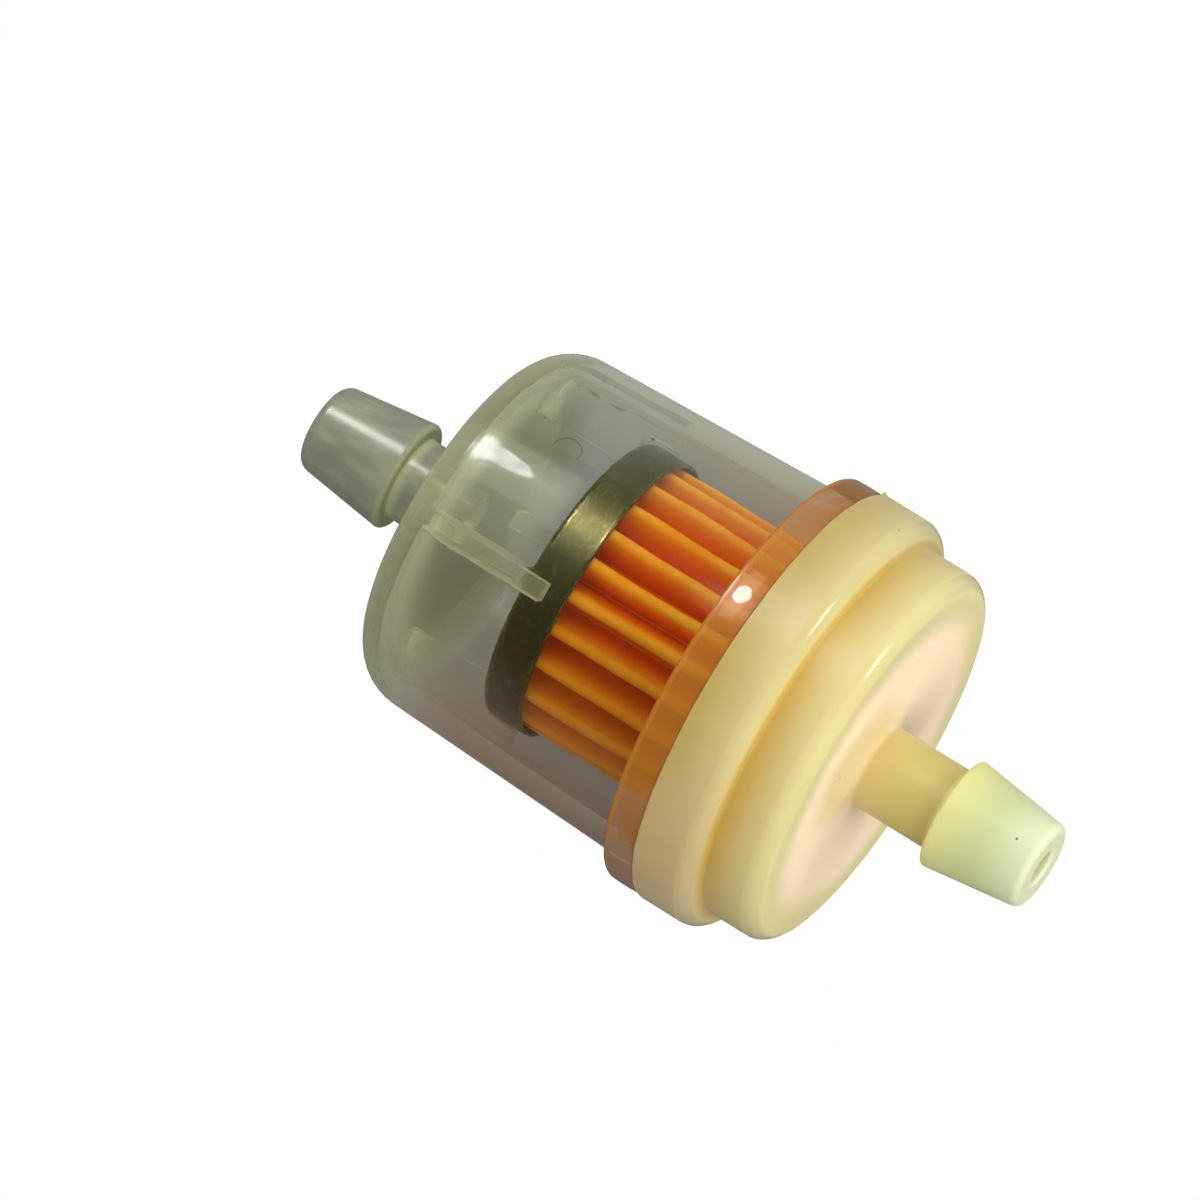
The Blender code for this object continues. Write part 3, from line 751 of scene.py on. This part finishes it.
def cream_plastic_finish(colors):
    """Cream plastic that light soaks into, satin with a thin gloss on its front edges."""
    material, tree = new_finish("cream_moulded_plastic")
    at = place_on_axis(tree)
    cloud = noise(tree, at, 150.0, 3.0)
    color = darkened(tree, between(tree, cloud, 0.35, 0.7, 0.0, 0.35),
                     cream_colors(tree, colors, at), colors.cream_cloud)
    waves = noise(tree, at, 400.0, 1.0)
    normal = bump(tree, noise(tree, at, 5000.0, 2.0), 0.000006, bump(tree, waves, 0.00004))
    flange_edge = product(tree, between(tree, at.x, FLANGE_FRONT - 1.0, FLANGE_FRONT - 0.7),
                          between(tree, at.radius, 14.2, 14.6))
    boss_edge = product(tree, between(tree, at.x, OUTLET_FACE - 1.1, OUTLET_FACE - 0.8),
                        between(tree, at.radius, 12.7, 13.1))
    shader = add(tree, "BsdfPrincipled", {
        "Base Color": color, "Roughness": between(tree, cloud, 0.3, 0.7, 0.38, 0.48),
        "IOR": 1.49, "Normal": normal,
        "Subsurface Weight": between(tree, at.x, CAP_HIGH[0] - 2.5, CAP_HIGH[0] - 1.0,
                                     0.25, 0.7),
        "Subsurface Radius": (1.0, 0.7, 0.35), "Subsurface Scale": 0.0012,
        "Coat Weight": largest(tree, flange_edge, boss_edge), "Coat IOR": 1.5,
        "Coat Roughness": 0.14, "Coat Normal": bump(tree, waves, 0.00002)}).outputs[0]
    add(tree, "OutputMaterial", {"Surface": shader})
    return material


def cup_metal_finish(colors):
    """Thin plated sheet with fine drawing lines round it, dull patches, a few scuffs and
    bare glints along both its rims."""
    material, tree = new_finish("plated_cup_metal")
    at = place_on_axis(tree)
    lines = noise(tree, at, 900.0, 4.0, 0.6, (9.0, 1.0, 1.0))
    patches = noise(tree, at, 330.0, 4.0, 0.6)
    scuffs = noise(tree, at, 2800.0, 4.0, 0.65, (1.0, 0.6, 0.6))
    grain = noise(tree, at, 4500.0, 2.0, 0.6)
    color = mix_colors(tree, between(tree, patches, 0.3, 0.75, 0.0, 0.5), colors.metal,
                       colors.metal_dull)
    color = darkened(tree, between(tree, grain, 0.3, 0.7, 0.0, 0.5), color,
                     colors.metal_grain)
    worn = between(tree, scuffs, 0.52, 0.68, 0.0, 0.22)
    rims = largest(tree, between(tree, at.x, CUP_RIM - 0.35, CUP_RIM - 0.15),
                   between(tree, at.x, CUP_FACE + 0.55, CUP_FACE + 0.35))
    bare = product(tree, rims, between(tree, scuffs, 0.40, 0.55))
    color = mix_colors(tree, largest(tree, worn, product(tree, bare, 0.3)), color,
                       colors.metal_worn)
    polish = product(tree, largest(tree, bare, worn), -0.16)
    roughness = math_node(tree, "ADD", between(tree, patches, 0.3, 0.7, 0.32, 0.40), polish)
    shader = add(tree, "BsdfPrincipled", {
        "Base Color": color, "Metallic": 0.75, "Roughness": roughness,
        "Normal": bump(tree, lines, 0.000007, bump(tree, patches, 0.000004))}).outputs[0]
    add(tree, "OutputMaterial", {"Surface": shader})
    return material


def paper_finish(colors):
    """Resin-treated paper: fibres, paler along the outer folds with painted light, redder in the
    valleys with painted shade, and darker on its lower side with painted shade."""
    material, tree = new_finish("resin_filter_paper")
    at = place_on_axis(tree)
    fibre = noise(tree, at, 4200.0, 4.0, 0.7)
    mottle = noise(tree, at, 700.0, 3.0)
    height = math_node(tree, "ADD", at.radius, between(tree, mottle, 0.3, 0.7, -0.12, 0.12))
    # Painted shade: the paper's lower side, where its ridges are also less pale
    low = between(tree, at.y, -2.0, -8.0)
    # Painted shade in the valleys and painted light on the ridges, by radius
    color = mix_colors(tree, between(tree, height, 8.4, 9.5), colors.paper_valley_shade,
                       colors.paper_flank)
    ridge_light = product(tree, between(tree, height, 9.4, 9.9),
                    math_node(tree, "SUBTRACT", 1.0, product(tree, low, 0.5)))
    color = mix_colors(tree, ridge_light, color, colors.paper_ridge_lit)
    color = darkened(tree, between(tree, fibre, 0.3, 0.75, 0.0, 0.3), color,
                     colors.paper_fibre)
    color = darkened(tree, low, color, colors.paper_shaded)
    shader = add(tree, "BsdfPrincipled", {
        "Base Color": color, "Roughness": 0.62, "Specular IOR Level": 0.02,
        "Normal": bump(tree, fibre, 0.00002, bump(tree, mottle, 0.00003))}).outputs[0]
    add(tree, "OutputMaterial", {"Surface": shader})
    return material


def adhesive_finish(colors):
    """Cured amber adhesive with a slightly uneven, glossy face."""
    material, tree = new_finish("cured_amber_adhesive")
    at = place_on_axis(tree)
    lumps = noise(tree, at, 700.0, 3.0)
    shader = add(tree, "BsdfPrincipled", {
        "Base Color": darkened(tree, lumps, colors.adhesive, colors.adhesive_deep),
        "Roughness": between(tree, lumps, 0.3, 0.7, 0.25, 0.5),
        "IOR": 1.5, "Normal": bump(tree, lumps, 0.0001)}).outputs[0]
    add(tree, "OutputMaterial", {"Surface": shader})
    return material


# The pieces


def inner_wall(sizes, x):
    """Inner radius of the bowl's side wall at x: the mouth's, less the wall, less the draft."""
    draft = (sizes.mouth_radius - sizes.end_radius) / MM / (FLANGE_BACK - END_FACE)
    return (sizes.mouth_radius - sizes.bowl_wall) / MM + draft * (x - FLANGE_BACK)


def fin_columns(sizes):
    """The columns of the bowl's grid, all as arrays with one value for each column.

    Returns the angle of each column, the angle of the fin that it belongs to, its offset
    across that fin in millimetres, how far it goes along the fin's depth, from 0 on the wall
    to 1 at the fin's free edge, and whether it belongs to a fin. A column between two fins
    has offset 0 and depth 0. The outermost column on each side of a fin stays on the wall.
    """
    half = sizes.fin_thickness / MM / 2
    # from the wall round the fin's root, up its side and round its free edge to the middle
    offset = np.array([-half - 0.107, -half - 0.09, -half, -half + 0.03, -half + 0.14, 0.0])
    depth = np.array([0.0, 0.0, 0.04, 0.96, 1.0, 1.0])
    offset = np.r_[offset, -offset[-2::-1]]
    depth = np.r_[depth, depth[-2::-1]]
    turn = 2 * np.pi / FIN_COUNT
    gap = np.linspace(FIN_SECTOR, turn - FIN_SECTOR, COLUMNS_BETWEEN_FINS + 2)[1:-1]
    empty = np.zeros(len(gap))
    local = np.r_[np.arcsin(offset / FLOOR_EDGE), gap]
    in_fin = np.r_[np.ones(len(offset), bool), empty.astype(bool)]
    in_fin[[0, len(offset) - 1]] = False
    fins = sizes.fin_angle + turn * np.arange(FIN_COUNT)
    angles = (fins[:, None] + local[None, :]).ravel()
    return (angles, np.repeat(fins, len(local)), np.tile(np.r_[offset, empty], FIN_COUNT),
            np.tile(np.r_[depth, empty], FIN_COUNT), np.tile(in_fin, FIN_COUNT))


def bowl_outer_path(sizes):
    """The bowl's outer path, from the seam out over the slightly crowned flange, along the
    side wall, round the end and along the nipple to its tip."""
    seam, tip = BOWL_HIGH[0], BOWL_LOW[0]
    rise = 0.05
    across = np.linspace(1, -1, 9)
    crown = np.stack([(seam + FLANGE_BACK) / 2 + across * (seam - FLANGE_BACK) / 2,
                      sizes.flange_radius / MM - rise * across ** 2, 0 * across], 1)
    crown[0, 2], crown[-1, 2] = 0.1, 0.3
    neck, bore = sizes.neck_radius / MM, sizes.inlet_bore / MM
    path = rounded_path([(seam, inner_wall(sizes, seam), 0), *crown,
                         (FLANGE_BACK, sizes.mouth_radius / MM, 0.22),
                         (END_FACE, sizes.end_radius / MM, 3.7),
                         (END_FACE, neck, 0.5),
                         (INLET_BARB, neck, 0.15),
                         (INLET_BARB, sizes.barb_radius / MM, 0.35),
                         (tip, sizes.tip_radius / MM, 0.95),
                         (tip, bore, 0)], steps=10)
    return supported(path[1:-1])


def bowl_inner_path(sizes):
    """The bowl's inner path, from the tip back through the bore, over the floor and up the
    side wall to the seam.

    Also returns, for each point, the radius of the fin's free edge there (0 where there is
    no fin), and whether the fin's columns keep their own offsets there. A fin is broad up to
    its stop in front of the cup, and goes on from there as a narrow prong beside the cup.
    """
    seam, tip = BOWL_HIGH[0], BOWL_LOW[0]
    floor, bore = END_FACE + sizes.bowl_end_wall / MM, sizes.inlet_bore / MM
    stop, prong_tip = CUP_FACE - FIN_CLEARANCE, CUP_FACE + 1.8
    low = rounded_path([(tip, sizes.tip_radius / MM, 0), (tip, bore, 0.25),
                        (floor, bore, 0.25), (floor, FLOOR_EDGE, 0)])
    low = supported(low[1:])
    arc = rounded_path([(floor, FLOOR_EDGE, 0), (floor, inner_wall(sizes, floor), 2.2),
                        (stop, inner_wall(sizes, stop), 0)], steps=8)[1:-1]
    step = 0.012
    fin_rows = [stop - 3.6, stop - 1.8, stop - 0.1, stop]
    prong_rows = [stop + step, stop + 0.1, (stop + prong_tip) / 2, prong_tip - 0.1, prong_tip]
    free_rows = [prong_tip + step, prong_tip + 0.25, 0.5, 3.0, 5.4, seam - SUPPORT, seam]
    rows = np.array(fin_rows + prong_rows + free_rows)
    rows = rows[rows > arc[-1, 0] + 0.05]
    path = np.vstack([low, arc, np.stack([rows, inner_wall(sizes, rows)], 1)])
    x = path[:, 0]
    on_wall = np.arange(len(path)) >= len(low)
    broad = inner_wall(sizes, stop) - sizes.fin_depth / MM
    prong = CUP_HIGH[1] + FIN_CLEARANCE
    edge = np.where(on_wall & (x <= stop + 1e-6), broad,
                    np.where(on_wall & (x <= prong_tip + 1e-6), prong, 0.0))
    return path, edge, on_wall & (x <= prong_tip + 2 * step)


def clear_bowl_points(sizes):
    """The bowl's grid of points: its closed section round the axis, with the fins drawn
    inwards out of the inner wall.

    In a fin's rows, a column with offset t and depth d lies at distance
    sqrt(R^2 - t^2) (1 - d) + E d along the fin's middle plane and t across it, where R is
    the wall's radius and E the radius of the fin's free edge.
    """
    angles, fins, offsets, depths, in_fin = fin_columns(sizes)
    inner, edge, keeps = bowl_inner_path(sizes)
    outside = turned_points(bowl_outer_path(sizes), angles)
    inside = turned_points(inner, angles)
    x, wall = inner[:, 0][:, None], inner[:, 1][:, None]
    depth = np.where(edge[:, None] > 0, depths[None, :], 0.0)
    along = np.sqrt(np.maximum(wall ** 2 - offsets ** 2, 0)) * (1 - depth)
    along = along + edge[:, None] * depth
    y = along * np.cos(fins) - offsets * np.sin(fins)
    z = along * np.sin(fins) + offsets * np.cos(fins)
    finned = np.stack([x + 0 * y, y, z], -1)
    use = keeps[:, None] & in_fin[None, :]
    inside = np.where(use[..., None], finned, inside)
    return np.concatenate([outside, inside], 0)


def cap_path(sizes):
    """The cream cap's closed section, from the inner edge of its seam face out over the
    flange, the boss and the nipple, and back inside."""
    seam, tip = BOWL_HIGH[0] + 0.012, CAP_HIGH[0]
    flange, boss = sizes.cap_radius / MM, sizes.boss_radius / MM
    hollow = boss - sizes.cap_wall / MM
    ceiling = OUTLET_FACE - sizes.cap_end_wall / MM
    neck, bore = sizes.neck_radius / MM, sizes.outlet_bore / MM
    path = rounded_path([(seam, hollow + 0.45, 0.05),
                         (seam, flange, 0.10),
                         (FLANGE_FRONT, flange, 1.2),
                         (FLANGE_FRONT, boss, 0.3),
                         (OUTLET_FACE, boss, 1.3),
                         (OUTLET_FACE, neck, 0.5),
                         (OUTLET_BARB, neck, 0.12),
                         (OUTLET_BARB, sizes.barb_radius / MM, 0.22),
                         (tip, sizes.tip_radius / MM, 0.55),
                         (tip, bore, 0.25),
                         (ceiling, bore, 0.2),
                         (ceiling, hollow, 0.6)], closed=True, steps=10)
    return supported(path, closed=True)


def outlet_cap_points(sizes):
    """The cap's section turned round the axis. Near the seam its edge wavers by a sum of
    sines of the angle, and small flashes of plastic stand out of it."""
    angles = even_angles(320)
    path = cap_path(sizes)
    points = turned_points(path, angles)
    flange = sizes.cap_radius / MM
    near_seam = np.exp(-((path[:, 0] - BOWL_HIGH[0]) / 0.16) ** 2) * (path[:, 1] > flange - 0.5)
    push = (0.022 * np.sin(7 * angles + 0.4) + 0.016 * np.sin(17 * angles + 2.1)
            + 0.012 * np.sin(41 * angles + 1.0) - 0.03)
    for place, width, height in SEAM_FLASHES:
        away = np.degrees(np.angle(np.exp(1j * (angles - np.radians(place)))))
        push = push + height * np.exp(-(away / width) ** 2)
    points[..., 1:] *= (1 + near_seam[:, None] * push[None, :] / flange)[..., None]
    return points


def metal_cup_points(sizes):
    """The metal cup's section turned round the axis, from its floor inside over the rim and
    down outside to its face. Its rim wavers a little in x. A small disc is left open at the
    middle of its floor and its face, for the poles to close."""
    angles = even_angles(288)
    radius, sheet = CUP_HIGH[1], sizes.cup_sheet / MM
    middle = 0.6
    path = rounded_path([(CUP_FACE + sheet, middle, 0),
                         (CUP_FACE + sheet, radius - sheet, 0.35),
                         (CUP_RIM, radius - sheet, 0.08),
                         (CUP_RIM, radius, 0.10),
                         (CUP_FACE, radius, 0.6),
                         (CUP_FACE, middle, 0)])
    points = turned_points(supported(path), angles)
    near_rim = np.clip((points[..., 0] - CUP_RIM + 0.8) / 0.8, 0, 1)
    points[..., 0] += near_rim * (0.03 * np.sin(3 * angles + 1) + 0.015 * np.sin(11 * angles))
    return points


def pleat_warp(turn):
    """How far each fold is out of even spacing, in radians, at its angle round the axis:
    a bulge where the strip's two ends are joined, and small sines."""
    away = np.angle(np.exp(1j * (turn - np.radians(PLEAT_JOINT))))
    bulge = np.radians(9.5) * np.exp(-(away / np.radians(20)) ** 2)
    return (bulge + np.radians(0.9) * np.sin(2 * turn - 0.2)
            + np.radians(0.35) * np.sin(5 * turn + 1.3))


def turned_pairs(pairs, angles):
    """Pairs of (y, z) turned about the axis by each angle in turn, in one array."""
    cosine, sine = np.cos(angles)[:, None], np.sin(angles)[:, None]
    y, z = pairs[:, 0][None, :], pairs[:, 1][None, :]
    return np.stack([y * cosine - z * sine, y * sine + z * cosine], -1).reshape(-1, 2)


def pleat_line(sizes, outer_radius):
    """The middle line of the paper over one pleat, and its normals, as (y, z) pairs.

    It is an arc round the outer bend, a straight flank, an arc round the inner bend and the
    other flank. The flanks touch both arcs, so the arcs turn by the angle of the line
    between the two bends' centres less arccos((R1 + R2) / the distance between them).
    """
    half_sheet = sizes.paper_thickness / MM / 2
    outer_bend, inner_bend = 0.24, 0.30
    outer_center = outer_radius - half_sheet - outer_bend
    inner_center = outer_radius - sizes.pleat_depth / MM + half_sheet + inner_bend
    half = np.pi / sizes.pleats
    span = np.array([inner_center * np.cos(half) - outer_center, inner_center * np.sin(half)])
    touch = np.arctan2(span[1], span[0]) - np.arccos((outer_bend + inner_bend)
                                                     / np.linalg.norm(span))
    bend = np.linspace(-1, 1, 11) * touch
    outer_normal = np.stack([np.cos(bend), np.sin(bend)], 1)
    outer_arc = np.array([outer_center, 0.0]) + outer_bend * outer_normal
    turn = np.pi + (touch - half) * np.linspace(1, -1, 9)
    inner_normal = -np.stack([np.cos(turn), np.sin(turn)], 1)
    inner_arc = turned_pairs(np.array([inner_center, 0.0]) - inner_bend * inner_normal,
                             np.array([half]))
    inner_normal = turned_pairs(inner_normal, np.array([half]))
    next_outer = turned_pairs(outer_arc[:1], np.array([2 * half]))
    share = np.linspace(0, 1, 8)[1:-1, None]
    down = outer_arc[-1] + (inner_arc[0] - outer_arc[-1]) * share
    up = inner_arc[-1] + (next_outer - inner_arc[-1]) * share
    line = np.vstack([outer_arc, down, inner_arc, up])
    normal = np.vstack([outer_normal, np.repeat(outer_normal[-1:], len(down), 0),
                        inner_normal, np.repeat(inner_normal[-1:], len(up), 0)])
    return line, normal


def pleated_paper_points(sizes):
    """The folded strip as a closed shell: its section round the axis carried along x.

    The two surfaces lie half the thickness to either side of the middle line, and the rows
    run along one surface and back along the other. Between the cup and the base, fading in
    from both ends, each fold wanders by small sines of x and the angle. The folds are
    unevenly spaced by pleat_warp.
    """
    outer_radius = CUP_HIGH[1] - sizes.cup_sheet / MM - PAPER_CLEARANCE
    depth, fade = sizes.pleat_depth / MM, 3.0
    turns = sizes.pleat_phase + 2 * np.pi / sizes.pleats * np.arange(sizes.pleats)
    line, normal = (turned_pairs(pairs, turns) for pairs in pleat_line(sizes, outer_radius))
    start, end = PAPER_LOW[0], PAPER_HIGH[0]
    heights = np.linspace(start, end, 40)
    sides = []
    for side, rows in ((1, heights), (-1, heights[::-1])):
        flat = line + side * normal * sizes.paper_thickness / MM / 2
        radius = np.hypot(flat[:, 0], flat[:, 1])[None, :]
        angle = np.arctan2(flat[:, 1], flat[:, 0])[None, :]
        x = rows[:, None]
        free = np.clip((x - CUP_RIM) / fade, 0, 1) * np.clip((end - x) / fade, 0, 1)
        wander = (np.radians(0.4) * np.sin(0.22 * x + 5 * angle)
                  + np.radians(0.06) * np.sin(0.8 * x + 11 * angle + 1.0))
        outward = np.clip(1 - (outer_radius - radius) / depth, 0, 1)
        swell = outward * (0.06 * np.sin(0.3 * x + 3 * angle + 0.7)
                           + 0.03 * np.sin(0.8 * x + 9 * angle))
        turned = angle + pleat_warp(angle) + free * wander
        moved = radius + free * swell
        sides.append(np.stack([x + 0 * turned, moved * np.cos(turned),
                               moved * np.sin(turned)], -1))
    return np.concatenate(sides, 0)


# Operators


class AddClearBowl(bpy.types.Operator):
    """Make the clear bowl with its nipple, flange and four inner fins"""

    bl_idname = "filter.add_clear_bowl"
    bl_label = "Clear bowl"

    def execute(self, context):
        scene = context.scene
        bowl = surface("clear_bowl_shell", clear_bowl_points(scene.filter_sizes),
                       rows_closed=True)
        seat(bowl, clear_plastic_finish(scene.filter_colors), "clear_bowl")
        return {"FINISHED"}


class AddOutletCap(bpy.types.Operator):
    """Make the cream cap with its flange, boss and outlet nipple"""

    bl_idname = "filter.add_outlet_cap"
    bl_label = "Outlet cap"

    def execute(self, context):
        scene = context.scene
        cap = surface("cream_outlet_cap", outlet_cap_points(scene.filter_sizes),
                      rows_closed=True)
        seat(cap, cream_plastic_finish(scene.filter_colors), "outlet_cap")
        return {"FINISHED"}


class AddMetalCup(bpy.types.Operator):
    """Make the pressed metal cup on the inlet end of the paper"""

    bl_idname = "filter.add_metal_cup"
    bl_label = "Metal cup"

    def execute(self, context):
        scene = context.scene
        sizes = scene.filter_sizes
        points = metal_cup_points(sizes)
        poles = ((0, CUP_FACE + sizes.cup_sheet / MM), (len(points) - 1, CUP_FACE))
        cup = surface("plated_metal_cup", points, poles=poles)
        seat(cup, cup_metal_finish(scene.filter_colors), "element_end_cap")
        return {"FINISHED"}


class AddPleatedPaper(bpy.types.Operator):
    """Make the pleated paper"""

    bl_idname = "filter.add_pleated_paper"
    bl_label = "Pleated paper"

    def execute(self, context):
        scene = context.scene
        paper = surface("folded_filter_paper", pleated_paper_points(scene.filter_sizes),
                        rows_closed=True)
        seat(paper, paper_finish(scene.filter_colors), "filter_paper")
        return {"FINISHED"}


class FinishAdhesive(bpy.types.Operator):
    """Give the two layers of adhesive their finish"""

    bl_idname = "filter.finish_adhesive"
    bl_label = "Adhesive"

    def execute(self, context):
        material = adhesive_finish(context.scene.filter_colors)
        for name in ("end_cap_adhesive", "base_adhesive"):
            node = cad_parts[name]
            if not node.material_slots:
                raise RuntimeError(f"{name} has no material slot")
            node.material_slots[0].material = material
        return {"FINISHED"}


class SetStage(bpy.types.Operator):
    """Make the floor, the lamps, the surroundings and the camera"""

    bl_idname = "filter.set_stage"
    bl_label = "Stage"

    def execute(self, context):
        settings = context.scene.filter_stage
        make_floor(settings)
        make_surroundings(context.scene, settings)
        overhead = (-0.235, 0.25, 0.94)
        make_lamp("softbox", (-0.03, 0.22, 0.97), (0.25, 0.28), 2.8, mirrored=False)
        make_lamp("bulb", overhead, (0.10, 0.085), 24.0, "ELLIPSE", lights=False,
                  distance=0.588)
        make_lamp("panel", overhead, (0.30, 0.09), 2.8, lights=False, color=(1.0, 0.75, 0.5))
        make_lamp("left_lamp", (-0.655, 0.27, 0.70), (0.145, 0.462), 18.0, "ELLIPSE",
                  lights=False)
        make_lamp("right_lamp", (0.80, 0.42, 0.43), (0.15, 0.15), 8.0)
        make_lamp("front_fill", (0.93, -0.28, 0.25), (0.45, 0.45), 4.0, mirrored=False)
        make_lamp("far_wall", (0.0, 0.97, 0.24), (0.9, 0.9), 0.45)
        make_camera(context.scene, settings)
        return {"FINISHED"}


# The stage


def even_light(tree, brightness):
    """An Emission shader of one grey."""
    return add(tree, "Emission", {"Color": (brightness, brightness, brightness, 1.0)}).outputs[0]


def even_grey(tree, grey):
    """A matt shader of one grey."""
    return add(tree, "BsdfDiffuse", {"Color": (grey, grey, grey, 1.0)}).outputs[0]


def make_floor(settings):
    """A wide plain floor: white to the camera, grey to the rays that light the filter, and
    an even glow where it is seen through clear plastic."""
    half, level = 3000.0, -settings.floor_level / MM
    corners = np.array([[[-half, -half, level], [half, -half, level]],
                        [[-half, half, level], [half, half, level]]])
    floor = surface("floor", corners, columns_closed=False, flip=True)
    material, tree = new_finish("pale_floor")
    path = add(tree, "LightPath").outputs
    behind = add(tree, "AddShader", {0: even_light(tree, settings.floor_glow),
                                     1: even_grey(tree, settings.floor_grey / 2)}).outputs[0]
    other = add(tree, "MixShader", {0: path["Is Transmission Ray"],
                                    1: even_grey(tree, settings.floor_grey),
                                    2: behind}).outputs[0]
    seen = add(tree, "MixShader", {0: path["Is Camera Ray"], 1: other,
                                   2: even_light(tree, 1.0)}).outputs[0]
    add(tree, "OutputMaterial", {"Surface": seen})
    floor.data.materials.append(material)


def make_surroundings(scene, settings):
    """Soft even surroundings: white to the camera, and dim in glossy and clear faces."""
    world = bpy.data.worlds.new("soft_surroundings")
    world.use_nodes = True
    tree = world.node_tree
    tree.nodes.clear()
    path = add(tree, "LightPath").outputs
    soft = add(tree, "MapRange", {"Value": path["Is Diffuse Ray"],
                                  "To Min": settings.sky_mirrored,
                                  "To Max": settings.sky}).outputs[0]
    strength = add(tree, "MapRange", {"Value": path["Is Camera Ray"],
                                      "To Min": soft, "To Max": 1.0}).outputs[0]
    sky = add(tree, "Background", {"Color": (1.0, 1.0, 1.0, 1.0), "Strength": strength})
    add(tree, "OutputWorld", {"Surface": sky.outputs[0]})
    scene.world = world
    scene.view_settings.view_transform = "Standard"


def make_lamp(name, towards, size, radiance, shape="RECTANGLE", lights=True, mirrored=True,
              distance=0.6, color=(1.0, 1.0, 1.0)):
    """An area lamp that faces the filter, its height square to world Y. Its power is its
    radiance times pi times its area. A lamp that doesn't light is only mirrored, and one
    that isn't mirrored only lights."""
    back = Vector(towards).normalized()
    width, height = size
    lamp = bpy.data.lights.new(name, "AREA")
    lamp.shape, lamp.color = shape, color
    lamp.size, lamp.size_y = width, height
    area = width * height * (math.pi / 4 if shape == "ELLIPSE" else 1.0)
    lamp.energy = radiance * math.pi * area
    height_axis = back.cross(Vector((0, 1, 0))).normalized()
    width_axis = height_axis.cross(back)
    turn = Matrix((width_axis, height_axis, back)).transposed().to_4x4()
    obj = bpy.data.objects.new(name, lamp)
    obj.matrix_world = Matrix.Translation(back * distance) @ turn
    obj.visible_camera = False
    obj.visible_diffuse = lights
    obj.visible_glossy = mirrored
    bpy.context.scene.collection.objects.link(obj)


def make_camera(scene, settings):
    """The camera at the photograph's viewing angle."""
    camera = bpy.data.cameras.new("camera")
    camera.sensor_width = 36.0
    camera.lens = settings.focal_length
    camera.clip_start, camera.clip_end = 0.01, 20.0
    azimuth, elevation = settings.azimuth, settings.elevation
    back = Vector((math.sin(azimuth) * math.cos(elevation),
                   -math.cos(azimuth) * math.cos(elevation), math.sin(elevation)))
    obj = bpy.data.objects.new("camera", camera)
    obj.matrix_world = (Matrix.Translation(Vector(settings.aim) + back * settings.distance)
                        @ (-back).to_track_quat("-Z", "Y").to_matrix().to_4x4())
    scene.collection.objects.link(obj)
    scene.camera = obj


# Panel and main

OPERATORS = (AddClearBowl, AddOutletCap, AddMetalCup, AddPleatedPaper, FinishAdhesive, SetStage)


class FilterPanel(bpy.types.Panel):
    """The filter's sizes, colours and steps"""

    bl_idname = "VIEW3D_PT_fuel_filter"
    bl_label = "Inline fuel filter"
    bl_space_type = "VIEW_3D"
    bl_region_type = "UI"
    bl_category = "Fuel filter"

    def draw(self, context):
        for group in (context.scene.filter_sizes, context.scene.filter_colors,
                      context.scene.filter_stage):
            box = self.layout.box()
            for name in type(group).__annotations__:
                box.prop(group, name)
        for step in OPERATORS:
            self.layout.operator(step.bl_idname)


GROUPS = {"filter_sizes": FilterSizes, "filter_colors": FilterColors,
          "filter_stage": StageSettings}


def register():
    """Register the classes and hang the property groups on the scene."""
    for cls in (*GROUPS.values(), *OPERATORS, FilterPanel):
        bpy.utils.register_class(cls)
    for name, group in GROUPS.items():
        setattr(bpy.types.Scene, name, bpy.props.PointerProperty(type=group))


def unregister():
    """Take everything back in the opposite order."""
    for name in reversed(GROUPS):
        delattr(bpy.types.Scene, name)
    for cls in reversed((*GROUPS.values(), *OPERATORS, FilterPanel)):
        bpy.utils.unregister_class(cls)


def main():
    register()
    bpy.ops.filter.add_clear_bowl()
    bpy.ops.filter.add_outlet_cap()
    bpy.ops.filter.add_metal_cup()
    bpy.ops.filter.add_pleated_paper()
    bpy.ops.filter.finish_adhesive()
    bpy.ops.filter.set_stage()


if __name__ == "__main__":
    main()
